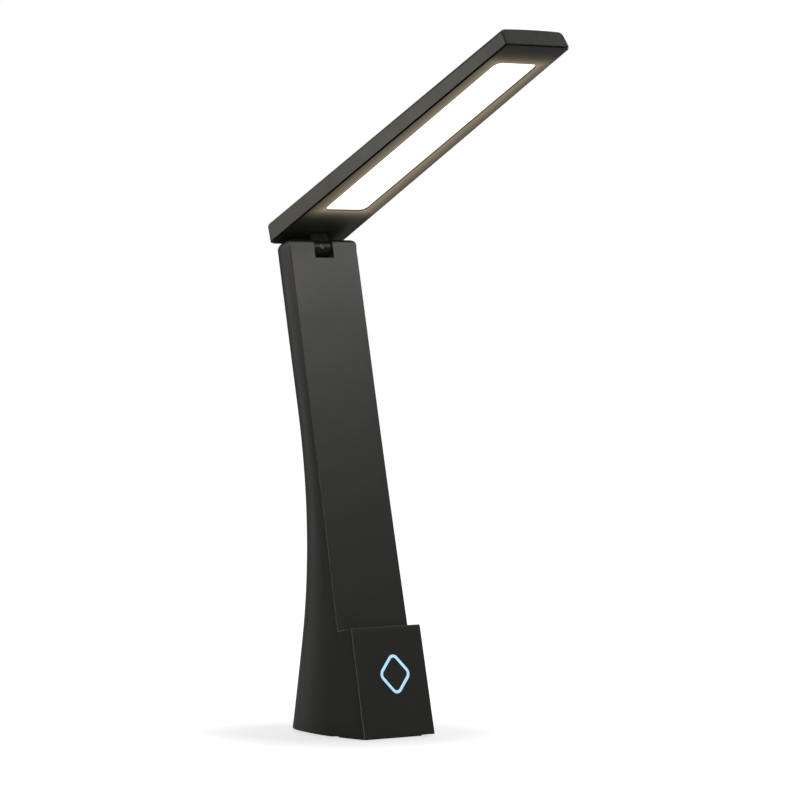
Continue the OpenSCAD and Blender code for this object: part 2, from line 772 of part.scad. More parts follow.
// Knuckle: a barrel on the pin, a neck up to the head and a plate inside it
knuckle_w = slot_width - 2 * knuckle_gap;
knuckle_plate = [24, 15.5, 2.2];
knuckle_plate_back = head_behind - head_wall - end_draft / 2 - fit_gap;
knuckle_screw_places = [for (x = [-1, 1], l = [2.8, 12.5])
    [x * (knuckle_plate[0] / 2 - 2.6), knuckle_plate_back - l]];
knuckle_head_t = 1;
lock_screw_t = 0.9;
module hinge_knuckle() {
    neck_top = light_drop + frame_t + knuckle_plate[2] / 2;
    neck_half = knuckle_r - neck_step;
    neck_from = pin_d / 2 + 0.3;
    color(matt_black) difference() {
        union() {
            at_hinge() rod(2 * knuckle_r, knuckle_w);
            at_hinge() rotate([-open_tilt, 0, 0])
                translate([-knuckle_w / 2, -neck_half, neck_from])
                    cube([knuckle_w, 2 * neck_half, neck_top - neck_from]);
            on_head() translate([
                -knuckle_plate[0] / 2, knuckle_plate_back - knuckle_plate[1], frame_t
            ]) cube(knuckle_plate);
        }
        at_hinge() rod(pin_d + press_play, 2 * slot_width);
        at_hinge() rotate([90 - lean, 0, 0]) {
            translate([0, 0, knuckle_r - lock_screw_t])
                cylinder(d = lock_screw_d + head_play, h = knuckle_r);
            cylinder(d = small_screw_d + pilot_play, h = knuckle_r);
        }
        on_head() for (p = knuckle_screw_places) translate([p[0], p[1], frame_t - overlap]) {
            cylinder(d = small_screw_d + hole_play, h = head_t);
            cylinder(d = small_head_d + head_play, h = knuckle_head_t + overlap);
        }
    }
}

// Lock screw in the front of the barrel, which holds the pin
module lock_screw() {
    color([0.12, 0.12, 0.12]) at_hinge() rotate([90 - lean, 0, 0])
        translate([0, 0, knuckle_r - lock_screw_t]) difference() {
            screw(small_screw_d, lock_screw_d, lock_screw_t - 0.2,
                knuckle_r - lock_screw_t - pin_d / 2 - 0.1);
            for (turn = [0, 90]) rotate([0, 0, turn])
                translate([-0.9, -0.2, lock_screw_t - 0.6]) cube([1.8, 0.4, 1]);
        }
}
module knuckle_screws() {
    color(satin_steel) on_head() for (p = knuckle_screw_places)
        translate([p[0], p[1], frame_t + knuckle_head_t]) rotate([180, 0, 0])
            screw(small_screw_d, small_head_d, knuckle_head_t - 0.1, knuckle_plate[2] + 2);
}

// Head shell: a tray with leaning sides, round long edges and a crowned top, open
// below, with posts for the knuckle's plate and ribs that hold the heat plate down
function head_share(l) = (l + head_behind) / (tip_l + head_behind);
function head_half(l) = (head_width + (tip_width - head_width) * head_share(l)) / 2;
function head_top(l) = head_t + (tip_t - head_t) * head_share(l);
arc_steps = 4;
crown_steps = 4;
// Half cross-section at a distance l from the hinge, drawn in at its sides and top:
// [x, height] up the side, round the edge and in to the middle of the top
function head_side(l, inset, low, side_in, top_in) =
    let (
        w = head_half(l) - inset - side_in,
        edge = head_top(l) - inset - top_in - head_crown,
        r = head_round - inset / 2,
        w_top = w - side_draft * edge / head_t
    )
    concat(
        [[w - side_draft * low / head_t, low]],
        [for (i = [0 : arc_steps]) let (q = 90 * i / arc_steps)
            [w_top - r + r * cos(q), edge - r + r * sin(q)]],
        [for (i = [1 : crown_steps]) let (t = i / crown_steps)
            [(w_top - r) * (1 - t), edge + head_crown * (1 - pow(1 - t, 2))]]
    );
// Whole ring of the head at a distance l, leaning by a share of the ends' draft
function head_ring(l, inset, low, lean_share, side_in = 0, top_in = 0) =
    let (half = head_side(l, inset, low, side_in, top_in), n = len(half))
    [for (p = concat([for (q = half) [-q[0], q[1]]], [for (i = [n - 2 : -1 : 0]) half[i]]))
        [p[0], -l + lean_share * end_draft * p[1] / head_t, p[1]]];
// The head's form: round corners at the hinge end, crisp ones at the tip
module head_solid(inset, low, rounding) {
    from = -head_behind + inset;
    to = tip_l - inset;
    corner = heel_corner - inset;
    loft(concat(
        [for (q = [90 : -15 : 0]) let (h = corner * sin(q))
            head_ring(from + corner - h, inset, low, -1, round_in(corner, h),
                round_in(rounding, h - corner + rounding))],
        [for (t = [0.25, 0.5, 0.75])
            head_ring(from + (to - from) * t, inset, low, 2 * t - 1)],
        [for (q = rounding == 0 ? [90] : [0 : 30 : 90]) let (h = rounding * sin(q))
            head_ring(to - rounding + h, inset, low, 1, round_in(rounding, h),
                round_in(rounding, h))]
    ));
}
knuckle_post_z = frame_t + knuckle_plate[2];
rib_count = 5;
rib_t = 1.6;
rib_spread = 0.84;
module head_shell() {
    color(matt_black) on_head() difference() {
        union() {
            difference() {
                head_solid(0, frame_t, end_round);
                head_solid(head_wall, frame_t - 1, 0);
            }
            for (p = knuckle_screw_places) translate([p[0], p[1], knuckle_post_z])
                cylinder(d = small_screw_d + 2.4, h = head_t - head_wall / 2 - knuckle_post_z);
            for (i = [0 : rib_count - 1])
                let (l = light_mid + (0.5 - i / (rib_count - 1)) * rib_spread * light_length)
                translate([-light_width / 3, -l - rib_t / 2, heat_top])
                    cube([2 * light_width / 3, rib_t, head_top(l) - head_wall / 2 - heat_top]);
        }
        for (p = knuckle_screw_places) translate([p[0], p[1], 0])
            cylinder(d = small_screw_d + pilot_play, h = head_t - head_wall - 0.6);
    }
}

// Light frame: closes the head below, with the diffuser's window, the neck's
// opening and the clips that hold it in the shell
clip = [7, 1, 3];
tip_corner = 1;
function frame_half(l) = head_half(l) - frame_step;
// Outline of the frame at a height z, with the heel drawn in by its round lower edge
function frame_ring(z) =
    let (
        near = heel_corner - frame_step,
        from = -head_behind + frame_step,
        to = tip_l - frame_step,
        near_y = -from - near - round_in(heel_round, heel_round - z),
        near_x = frame_half(from) - near,
        far_y = -to + tip_corner,
        far_x = frame_half(to) - tip_corner
    )
    [for (c = [
            [-near_x, near_y, near, 180], [near_x, near_y, near, 90],
            [far_x, far_y, tip_corner, 0], [-far_x, far_y, tip_corner, -90]
        ], turn = [0 : 15 : 90])
        [c[0] + c[2] * cos(c[3] - turn), c[1] + c[2] * sin(c[3] - turn), z]];
module light_frame() {
    color(matt_black) on_head() {
        difference() {
            loft([for (z = concat(
                    [for (q = [90 : -30 : 0]) heel_round * (1 - sin(q))], [frame_t]
                )) frame_ring(z)]);
            translate([0, -light_mid, -1])
                plate(light_width, light_length, light_round, frame_t + 2);
            translate([0, 0, frame_t / 2]) cube([
                knuckle_w + 2 * fit_gap, 2 * (knuckle_r + fit_gap), 2 * frame_t
            ], center = true);
        }
        for (side = [-1, 1], t = [0.12, 0.38, 0.64, 0.9])
            let (l = t * tip_l)
            translate([side * (head_half(l) - head_wall - side_draft - clip[1]) - clip[1] / 2,
                -l - clip[0] / 2, frame_t - overlap]) cube([clip[1], clip[0], clip[2]]);
    }
}

// Diffuser: sunk in its window, with a lip behind the frame
module diffuser() {
    color([1.0, 0.97, 0.90]) on_head() translate([0, -light_mid, 0]) {
        translate([0, 0, light_recess]) plate(light_width - fit_gap,
            light_length - fit_gap, light_round, frame_t + overlap - light_recess);
        translate([0, 0, frame_t]) plate(light_width + 2 * light_lip,
            light_length + 2 * light_lip, light_round + light_lip, lip_t);
    }
}

// White tray round the light chips, the chip board and the heat plate over it
tray_z = frame_t + lip_t;
chip_board_z = tray_z + tray_h;
heat_top = chip_board_z + led_board_t + heat_plate_t;
board_size = [light_width + 2 * light_lip, light_length + 2 * light_lip];
light_chip = [2.8, 3.5, 0.7];
module reflector_tray() {
    color([0.93, 0.93, 0.92]) on_head() translate([0, -light_mid, tray_z]) difference() {
        plate(board_size[0], board_size[1], light_round + light_lip, tray_h);
        translate([0, 0, -1]) plate(board_size[0] - 2 * tray_wall,
            board_size[1] - 2 * tray_wall, light_round, tray_h + 2);
    }
}
module led_board() {
    color([0.92, 0.92, 0.90]) on_head() translate([0, -light_mid, chip_board_z])
        plate(board_size[0], board_size[1], 2, led_board_t);
}
module light_chips() {
    step = (light_length - 8) / chips_per_row;
    color([0.98, 0.85, 0.35]) on_head() for (row = [-1, 1], i = [0 : chips_per_row - 1])
        translate([
            row * chip_row_gap / 2 - light_chip[0] / 2,
            -light_mid + (i - (chips_per_row - 1) / 2) * step - light_chip[1] / 2,
            chip_board_z - light_chip[2]
        ]) cube(light_chip);
}
module heat_plate() {
    color([0.75, 0.76, 0.78]) on_head()
        translate([0, -light_mid, chip_board_z + led_board_t])
            plate(board_size[0] - 4, board_size[1] - 4, 2, heat_plate_t);
}

// Wire in the head, from over the neck, between the posts and beside the tray to the
// middle of the chip board
module head_wire() {
    z = knuckle_post_z + wire_d / 2 + fit_gap;
    between = (knuckle_screw_places[0][1] + knuckle_screw_places[1][1]) / 2;
    side = board_size[0] / 2 + wire_d / 2;
    color([0.75, 0.10, 0.08]) on_head() wire([
        [0, between, z],
        [knuckle_plate[0] / 2, between, z],
        [side - fit_gap, between - wire_d / 4, z],
        [side + 4 * fit_gap, between - 1.5 * wire_d, z],
        [side + 4 * fit_gap, -light_mid / 2, z],
        [side + 4 * fit_gap, 4 * wire_d - light_mid, z],
        [side + fit_gap, -light_mid, chip_board_z]
    ], wire_d);
}

rear_shell();
front_cover();
base_plate();
base_pad();
base_screws();
ballast();
battery_cradle();
battery_cell();
cradle_screws();
charge_board();
charge_socket();
control_board();
board_screws();
touch_contact();
touch_ring();
touch_cap();
ring_lights();
hinge_bracket();
bracket_screws();
tower_wire();
hinge_pin();
friction_washers();
pin_nut();
hinge_knuckle();
lock_screw();
knuckle_screws();
head_shell();
light_frame();
diffuser();
reflector_tray();
led_board();
light_chips();
heat_plate();
head_wire();
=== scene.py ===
# %% [markdown]
# A folding desk lamp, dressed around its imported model.
# The lamp is a leaning tower with a stepped pedestal, and a flat lit head on a hinge at
# the tower's top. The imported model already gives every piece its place, and the hinge
# its range. This script adds what the eye needs: fine shapes for the mouldings that
# show, a finish for every piece, and a plain studio. It could build all 34 pieces again,
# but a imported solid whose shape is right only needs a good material.

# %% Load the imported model
import math

import bmesh
import bpy
from mathutils import Matrix, Vector


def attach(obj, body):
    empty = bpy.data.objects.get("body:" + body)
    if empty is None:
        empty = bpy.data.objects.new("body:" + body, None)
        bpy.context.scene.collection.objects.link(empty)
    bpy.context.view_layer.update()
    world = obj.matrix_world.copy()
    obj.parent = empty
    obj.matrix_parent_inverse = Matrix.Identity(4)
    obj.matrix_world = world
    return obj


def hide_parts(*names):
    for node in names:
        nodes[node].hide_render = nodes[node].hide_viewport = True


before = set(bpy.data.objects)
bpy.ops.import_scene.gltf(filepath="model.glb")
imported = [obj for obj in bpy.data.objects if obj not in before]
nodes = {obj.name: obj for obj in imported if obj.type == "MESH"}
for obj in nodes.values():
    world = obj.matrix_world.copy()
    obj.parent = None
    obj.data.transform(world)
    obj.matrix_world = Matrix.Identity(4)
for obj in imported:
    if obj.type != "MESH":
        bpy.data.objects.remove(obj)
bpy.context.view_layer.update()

# %% [markdown]
# The camera stands where the photograph was taken from: low, to the left of the lamp's
# front, some 2.4 m away, with a long lens. A camera can be placed by eye and nudged.
# Here its place and angles were fitted to the lamp's corners in the photograph, so that
# the same outline comes out, and Blender's lens follows from the fitted focal length.

# %% Camera
CAMERA_PLACE = Vector((-1.4995, -1.8839, 0.23445))
CAMERA_TURN = math.radians(50.822)
CAMERA_PITCH = math.radians(-1.12)
FOCAL_PIXELS = 4284.11
FRAME_PIXELS = 800
SENSOR_MM = 36
VIEW_END = 50

camera_data = bpy.data.cameras.new("camera")
camera_data.sensor_width = SENSOR_MM
camera_data.lens = SENSOR_MM * FOCAL_PIXELS / FRAME_PIXELS
camera_data.clip_end = VIEW_END
camera = bpy.data.objects.new("camera", camera_data)
bpy.context.scene.collection.objects.link(camera)
looking = Vector((
    math.cos(CAMERA_TURN) * math.cos(CAMERA_PITCH),
    math.sin(CAMERA_TURN) * math.cos(CAMERA_PITCH),
    math.sin(CAMERA_PITCH),
))
camera.location = CAMERA_PLACE
camera.rotation_euler = looking.to_track_quat("-Z", "Y").to_euler()
bpy.context.scene.camera = camera
bpy.context.scene.view_settings.view_transform = "Standard"
print("lens", round(camera_data.lens, 1), "mm")

# %% [markdown]
# The surroundings are a white studio, which the camera sees as plain white. A really
# white world would light satin black plastic to grey, since even black plastic mirrors
# some of it. So Light Path tells camera rays from all others: they get full white, and
# the rest get a dim, even light.

# %% World
WORLD_LIGHT = 0.14
WHITE = (1, 1, 1, 1)


def node(tree, kind, **values):
    made = tree.nodes.new(kind)
    for key, value in values.items():
        setattr(made, key, value)
    return made


world = bpy.data.worlds.new("studio")
bpy.context.scene.world = world
world.use_nodes = True
tree = world.node_tree
tree.nodes.clear()
sky = node(tree, "ShaderNodeBackground")
sky.inputs["Color"].default_value = WHITE
rays = node(tree, "ShaderNodeLightPath")
seen = node(tree, "ShaderNodeMapRange")
seen.inputs["To Min"].default_value = WORLD_LIGHT
seen.inputs["To Max"].default_value = 1
out = node(tree, "ShaderNodeOutputWorld")
tree.links.new(rays.outputs["Is Camera Ray"], seen.inputs["Value"])
tree.links.new(seen.outputs["Result"], sky.inputs["Strength"])
tree.links.new(sky.outputs["Background"], out.inputs["Surface"])
print("world light", WORLD_LIGHT)

# %% [markdown]
# Black things are lit by what they mirror. One strong lamp would leave a single hard
# spot. So each soft box stands where one surface of the lamp mirrors it towards the
# camera: the rear one along the round back, the left one on the head's side, the right
# one on the upper face, and the front one in the narrow roundings of the front edges,
# which turn into thin bright lines. A wide weak one fills the flat face, and the top one
# gives the soft shadow at the foot.

# %% Soft boxes
SOFT_BOXES = [
    # name, place, aimed at, width and height, power in watts, colour
    ("rear", (-0.36, 1.45, 0.3), (0, 0, 0.15), (0.4, 1.1), 1.25, (1, 1, 1)),
    ("left", (-0.5, 0.5, 0.44), (0, -0.05, 0.32), (0.25, 0.25), 1, (1, 0.94, 0.82)),
    ("front", (-1.9, -2.3, 0.55), (0, 0, 0.15), (0.4, 0.4), 33, (1, 1, 1)),
    ("right", (0.43, -0.56, 0.66), (0, 0, 0.27), (0.26, 0.26), 2, (1, 1, 1)),
    ("top", (0.32, 0.42, 1.6), (0, 0, 0.05), (0.6, 0.6), 9, (1, 1, 1)),
    ("face", (-0.2, -0.9, 1.5), (0, 0, 0.2), (0.8, 0.8), 1, (1, 1, 1)),
]


def soft_box(name, place, target, size, power, colour):
    data = bpy.data.lights.new(name + "_softbox", "AREA")
    data.shape = "RECTANGLE"
    data.size, data.size_y = size
    data.energy = power
    data.color = colour
    made = bpy.data.objects.new(name + "_softbox", data)
    bpy.context.scene.collection.objects.link(made)
    made.location = place
    aim = Vector(target) - Vector(place)
    made.rotation_euler = aim.to_track_quat("-Z", "Y").to_euler()
    print(made.name, power, "W")


for row in SOFT_BOXES:
    soft_box(*row)

# %% [markdown]
# The moulded pieces here start as points that formulas give. They could be drawn by hand
# in Edit Mode, but formulas keep the exact sizes. Four helpers do the work: one makes an
# object, one makes all its faces point outwards, one closes a row of rings into a solid,
# as a boat's skin closes over its ribs, and one makes a flat outline thick.

# %% Meshes from points
MM = 0.001
WELD = 0.001 * MM


def make_object(name, points, faces, place=Matrix.Identity(4)):
    mesh = bpy.data.meshes.new(name)
    mesh.from_pydata([place @ Vector(p) for p in points], [], faces)
    mesh.update()
    made = bpy.data.objects.new(name, mesh)
    bpy.context.scene.collection.objects.link(made)
    return made


def face_outwards(made):
    work = bmesh.new()
    work.from_mesh(made.data)
    bmesh.ops.remove_doubles(work, verts=work.verts, dist=WELD)
    bmesh.ops.recalc_face_normals(work, faces=work.faces)
    work.to_mesh(made.data)
    work.free()


def loft(name, rings, place=Matrix.Identity(4)):
    """A closed solid through rings that have the same number of points."""
    count = len(rings[0])
    last = (len(rings) - 1) * count
    faces = [list(range(count)), [last + i for i in range(count)]]
    for k in range(len(rings) - 1):
        for i in range(count):
            a, b = k * count + i, k * count + (i + 1) % count
            faces.append([a, b, b + count, a + count])
    made = make_object(name, [p for ring in rings for p in ring], faces, place)
    face_outwards(made)
    return made


def prism(name, outline, low, high, axis, place=Matrix.Identity(4)):
    """A flat outline made into a solid between two heights along an axis."""
    def point(a, b, h):
        return {"x": (h, a, b), "y": (a, h, b), "z": (a, b, h)}[axis]

    rings = [[point(a, b, h) for a, b in outline] for h in (low, high)]
    return loft(name, rings, place)


print("mesh helpers ready")

# %% [markdown]
# The floor is the pale sheet that the lamp stands on. More light could make it white,
# but it would grey the black lamp too. So its matte part takes the lamp's real shadow, and
# a glow that only the camera sees lifts it to white. The glow is weaker close to the
# lamp, which paints a soft shadow round the foot on top of the real one, and full farther
# out, so that the floor meets the white backdrop with no horizon.

# %% Floor
FLOOR_HALF = 12
FLOOR_GREY = 0.3
SHADOW_FROM, SHADOW_TO = 0.05, 0.13
# the weaker glow close to the lamp is a painted shadow round the foot
LIFT_NEAR_PAINTED_SHADOW = 0.68

corners = [
    (x * FLOOR_HALF, y * FLOOR_HALF, 0) for x, y in ((-1, -1), (1, -1), (1, 1), (-1, 1))
]
floor = make_object("floor", corners, [[0, 1, 2, 3]])
floor_paint = bpy.data.materials.new("studio_floor")
floor_paint.use_nodes = True
tree = floor_paint.node_tree
tree.nodes.clear()
matte = node(tree, "ShaderNodeBsdfDiffuse")
matte.inputs["Color"].default_value = (FLOOR_GREY, FLOOR_GREY, FLOOR_GREY, 1)
glow = node(tree, "ShaderNodeEmission")
rays = node(tree, "ShaderNodeLightPath")
where = node(tree, "ShaderNodeTexCoord")
far = node(tree, "ShaderNodeVectorMath", operation="LENGTH")
rise = node(tree, "ShaderNodeMapRange", interpolation_type="SMOOTHSTEP")
rise.inputs["From Min"].default_value = SHADOW_FROM
rise.inputs["From Max"].default_value = SHADOW_TO
rise.inputs["To Min"].default_value = LIFT_NEAR_PAINTED_SHADOW
rise.inputs["To Max"].default_value = 1
lift = node(tree, "ShaderNodeMath", operation="MULTIPLY")
both = node(tree, "ShaderNodeAddShader")
out = node(tree, "ShaderNodeOutputMaterial")
tree.links.new(where.outputs["Object"], far.inputs[0])
tree.links.new(far.outputs["Value"], rise.inputs["Value"])
tree.links.new(rays.outputs["Is Camera Ray"], lift.inputs[0])
tree.links.new(rise.outputs["Result"], lift.inputs[1])
tree.links.new(lift.outputs["Value"], glow.inputs["Strength"])
tree.links.new(matte.outputs["BSDF"], both.inputs[0])
tree.links.new(glow.outputs["Emission"], both.inputs[1])
tree.links.new(both.outputs["Shader"], out.inputs["Surface"])
floor.data.materials.append(floor_paint)
print("floor", 2 * FLOOR_HALF, "m wide")

# %% [markdown]
# Booleans cut one solid out of another, as a mill cuts stock. They are quick to write and
# exact, but they leave edges like knives, and a moulding has none: its edges are rounded
# by a few tenths of a millimetre. A Bevel modifier does that. Weighted normals then keep
# the large flat faces flat to the eye while the narrow roundings shade smoothly.

# %% Cutting and rounding
EDGE_ANGLE = math.radians(32)
CREASE_ANGLE = math.radians(40)
FACE_WEIGHT = 100


def apply_modifiers(made):
    ready = bpy.context.evaluated_depsgraph_get()
    mesh = bpy.data.meshes.new_from_object(made.evaluated_get(ready))
    made.modifiers.clear()
    made.data = mesh


def combine(made, others, how):
    """Cuts the others out of a solid, adds them, or keeps what they share."""
    for other in others:
        step = made.modifiers.new("combine", "BOOLEAN")
        step.operation = how
        step.solver = "EXACT"
        step.object = other
        apply_modifiers(made)
        bpy.data.objects.remove(other)
    return made


def shade(made):
    """Smooth shading in which the large flat faces stay flat."""
    made.data.shade_smooth()
    made.data.set_sharp_from_angle(angle=CREASE_ANGLE)
    step = made.modifiers.new("normals", "WEIGHTED_NORMAL")
    step.mode = "FACE_AREA"
    step.weight = FACE_WEIGHT
    step.keep_sharp = True
    apply_modifiers(made)


def soften(made, width, segments):
    """Rounds every edge that is sharper than the edge angle."""
    face_outwards(made)
    step = made.modifiers.new("edge", "BEVEL")
    step.width = width
    step.segments = segments
    step.limit_method = "ANGLE"
    step.angle_limit = EDGE_ANGLE
    step.use_clamp_overlap = True
    apply_modifiers(made)
    shade(made)


print("edges sharper than", round(math.degrees(EDGE_ANGLE)), "degrees get rounded")

# %% [markdown]
# No real surface is one flat colour: a moulding has faint clouds in its colour and its
# gloss. They could be painted as an image and wrapped round the piece. Noise in the
# piece's own space is easier, since it has no seams and needs no unwrapping. Noise
# seldom leaves 0.3 to 0.7, so that range is spread over the two values to mix.

# %% Clouds in a material
NOISE_LOW, NOISE_HIGH = 0.3, 0.7


def material_base(name):
    made = bpy.data.materials.new(name)
    made.use_nodes = True
    tree = made.node_tree
    tree.nodes.clear()
    shader = node(tree, "ShaderNodeBsdfPrincipled")
    out = node(tree, "ShaderNodeOutputMaterial")
    tree.links.new(shader.outputs["BSDF"], out.inputs["Surface"])
    return made, tree, shader


def noise_field(tree, scale, detail):
    """Noise in the piece's own space."""
    where = node(tree, "ShaderNodeTexCoord")
    noise = node(tree, "ShaderNodeTexNoise")
    noise.inputs["Scale"].default_value = scale
    noise.inputs["Detail"].default_value = detail
    tree.links.new(where.outputs["Object"], noise.inputs["Vector"])
    return noise.outputs["Fac"]


def cloud(tree, low, high, scale, detail=2.0):
    """Noise that drifts from one value to another."""
    spread = node(tree, "ShaderNodeMapRange")
    spread.inputs["From Min"].default_value = NOISE_LOW
    spread.inputs["From Max"].default_value = NOISE_HIGH
    spread.inputs["To Min"].default_value = low
    spread.inputs["To Max"].default_value = high
    tree.links.new(noise_field(tree, scale, detail), spread.inputs["Value"])
    return spread.outputs["Result"]


def cloudy_colour(tree, shader, dark, light, scale):
    """A base colour that drifts between two close ones."""
    mix = node(tree, "ShaderNodeMix", data_type="RGBA")
    mix.inputs["A"].default_value = (*dark, 1)
    mix.inputs["B"].default_value = (*light, 1)
    tree.links.new(cloud(tree, 0.0, 1.0, scale), mix.inputs["Factor"])
    tree.links.new(mix.outputs["Result"], shader.inputs["Base Color"])


print("material helpers ready")

# %% [markdown]
# The lamp's plastic is satin black, moulded in a spark-eroded tool. That leaves a fine,
# even grain, which spreads the shine, and handling makes the gloss vary a little. The
# grain could be cut into the mesh, but it would take millions of faces, so it is a bump.
# One slow noise tints the colour, one varies the roughness, and a very fine one is the
# grain. The shine is faintly warm, as in the photograph.

# %% Moulded plastic
TINT_SCALE, GLOSS_SCALE = 60.0, 25.0
FINE_GRAIN, RUBBER_GRAIN = 4200.0, 1500.0
GLOSS_DETAIL, GRAIN_DETAIL = 4.0, 3.0
GLOSS_SPREAD = 0.03
GRAIN_DEPTH = 0.05 * MM
SHINE_TINT = (1.0, 0.985, 0.93, 1)


def moulded(name, dark, light, rough, grain=FINE_GRAIN, depth=0.05, shine=0.5):
    made, tree, shader = material_base(name)
    cloudy_colour(tree, shader, dark, light, TINT_SCALE)
    dull, bright = rough + GLOSS_SPREAD, rough - GLOSS_SPREAD
    gloss = cloud(tree, bright, dull, GLOSS_SCALE, GLOSS_DETAIL)
    tree.links.new(gloss, shader.inputs["Roughness"])
    bump = node(tree, "ShaderNodeBump")
    bump.inputs["Strength"].default_value = depth
    bump.inputs["Distance"].default_value = GRAIN_DEPTH
    tree.links.new(noise_field(tree, grain, GRAIN_DETAIL), bump.inputs["Height"])
    tree.links.new(bump.outputs["Normal"], shader.inputs["Normal"])
    shader.inputs["Specular IOR Level"].default_value = shine
    shader.inputs["Specular Tint"].default_value = SHINE_TINT
    print("finish", name)
    return made


print("grain bump", round(GRAIN_DEPTH / MM, 2), "mm")

# %% [markdown]
# A finished piece needs three things: its material, the body that it moves with, and
# the imported node that it stands for, which is hidden. One helper gives them all, so
# that none is forgotten.

# %% Finishing a piece
def finish_piece(made, body, slot, material, *replaced):
    made.data.materials.clear()
    made.data.materials.append(material)
    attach(made, body)
    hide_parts(*replaced)
    print(made.name, len(made.data.polygons), "faces")


print("finishing helper ready")

# %% [markdown]
# The tower's sizes, in metres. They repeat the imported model's, so that a piece made here
# lies on the solid that it stands for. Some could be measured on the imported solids, but
# no box gives a wall or a rounding. Up the slope the pedestal is 62 mm and the flat face
# 223 mm long, and all of the front leans back by 11.8 degrees. The slope's matrix turns
# a point that is easy to write in an upright frame into its leaning place.

# %% Sizes of the tower
LEAN = math.radians(11.8)
PAD_T = 1.2 * MM
BASE_DEPTH = 88 * MM
TOP_WIDTH = 48.1 * MM
SHAFT_SPREAD = 0.8 * MM
FOOT_SPREAD = 5 * MM
TOP_DEPTH = 28.9 * MM
FOOT_FLARE = math.radians(11.6)
WAIST_BLEND = 65 * MM
WIDEST_BACK = 18.3 * MM
SHAFT_WIDEST = 1.2 * MM
FRONT_DRAW = 0.0019 / MM
PEDESTAL = 62 * MM
LEDGE = 11.5 * MM
FACE_LENGTH = 223.4 * MM
COVER_WALL = 2.2 * MM
SHELL_WALL = 2 * MM
TOP_WALL = 1.2 * MM
TOP_ROUND = 2.5 * MM
CORNER_ROUND = 3.5 * MM
AXIS_DEPTH = 6.6 * MM
AXIS_BELOW_TOP = 4 * MM

FRONT_Y = -BASE_DEPTH / 2
TOP_S = PEDESTAL + FACE_LENGTH
AXIS_S = TOP_S - AXIS_BELOW_TOP
AXIS_D = LEDGE + AXIS_DEPTH
TOP_Z = PAD_T + TOP_S * math.cos(LEAN) - LEDGE * math.sin(LEAN)

slope = Matrix.Translation((0, FRONT_Y, PAD_T)) @ Matrix.Rotation(-LEAN, 4, "X")
axis_point = slope @ Vector((0, AXIS_D, AXIS_S))
print("tower top", round(TOP_Z, 4), "m, hinge axis", [round(c, 5) for c in axis_point])

# %% [markdown]
# The tower is the lamp's most shapely piece: a thin bar with a round back at the top,
# which widens and deepens into a long foot. Subdivision surfaces could give such a form,
# but its front has to stay flat and its sizes exact. So it is lofted: for each height a
# few formulas give the depth, the width and where the round back begins, and a section
# is drawn through them. The sections lean more and more, until the last is square to the
# face. They are the model's formulas, with many more points for a smooth back.

# %% Form of the tower
REACH_TRIES = 8
REACH_START = 30 * MM


def face_y(z):
    return FRONT_Y + LEDGE / math.cos(LEAN) + (z - PAD_T) * math.tan(LEAN)


SHAFT_BASE_Y = face_y(0) + TOP_DEPTH
SLOPES = math.tan(LEAN) + math.tan(FOOT_FLARE)
WAIST_Z = (BASE_DEPTH / 2 - SHAFT_BASE_Y) / SLOPES


def back_y(z):
    low = BASE_DEPTH / 2 - z * math.tan(FOOT_FLARE)
    into = z - WAIST_Z + WAIST_BLEND
    if z > WAIST_Z + WAIST_BLEND:
        return SHAFT_BASE_Y + z * math.tan(LEAN)
    return low if into < 0 else low + SLOPES * into * into / (4 * WAIST_BLEND)


def flare(z):
    return (back_y(z) - face_y(z) - TOP_DEPTH) / (back_y(0) - face_y(0) - TOP_DEPTH)


def half_width(z):
    return TOP_WIDTH / 2 + SHAFT_SPREAD / 2 * (1 - z / TOP_Z) + FOOT_SPREAD / 2 * flare(z)


def slant(z):
    return LEAN * max(0.0, z - PAD_T) / (TOP_Z - PAD_T)


def reach(z):
    """How deep a leaning section is, found by stepping to where it meets the back."""
    depth = REACH_START
    for _ in range(REACH_TRIES):
        depth = (back_y(z - depth * math.sin(slant(z))) - face_y(z)) / math.cos(slant(z))
    return depth


print("foot is", round(2 * half_width(0) / MM, 1), "mm wide")

# %% [markdown]
# One section is a closed line: along the left side from the front, round the back in
# fine steps, and up the right side. No point lies close to the face's plane, because a
# cut beside a point leaves a sliver, and a bevel can't get past slivers. The row of
# sections is spaced so that none runs along the ledge, for the same reason.

# %% Sections of the tower
BACK_STEPS = 72
FRONT_SHARES = (1, 0.6, 0.25)
RING_COUNT = 58
ROUND_STEPS = 8
INSIDE_RINGS = 30


def tower_ring(z, side_in=0.0, back_in=0.0):
    middle = SHAFT_WIDEST + (WIDEST_BACK - SHAFT_WIDEST) * flare(z)
    wide = half_width(z) - side_in
    deep = reach(z) - middle - back_in
    front = -LEDGE / math.cos(LEAN - slant(z))
    depths = [share * front for share in FRONT_SHARES]
    side = [(wide - FRONT_DRAW * (middle - d) ** 2, d) for d in depths]
    flat = [(-x, d) for x, d in side]
    for i in range(BACK_STEPS + 1):
        turn = math.pi * i / BACK_STEPS
        flat.append((-wide * math.cos(turn), middle + deep * math.sin(turn)))
    flat += reversed(side)
    a = slant(z)
    return [(x, face_y(z) + d * math.cos(a), z - d * math.sin(a)) for x, d in flat]


def drawn_in(radius, height):
    """How far a round edge lies inside its corner, at a height up the round."""
    return 0.0 if height <= 0 else radius - math.sqrt(max(0.0, radius**2 - height**2))


def tower_outside(name):
    round_z = TOP_Z - CORNER_ROUND
    rings = [
        tower_ring(PAD_T + (round_z - PAD_T) * i / RING_COUNT)
        for i in range(RING_COUNT + 1)
    ]
    for i in range(1, ROUND_STEPS + 1):
        h = CORNER_ROUND * math.sin(math.pi / 2 * i / ROUND_STEPS)
        back_in = drawn_in(TOP_ROUND, h - CORNER_ROUND + TOP_ROUND)
        rings.append(tower_ring(round_z + h, drawn_in(CORNER_ROUND, h), back_in))
    return loft(name, rings)


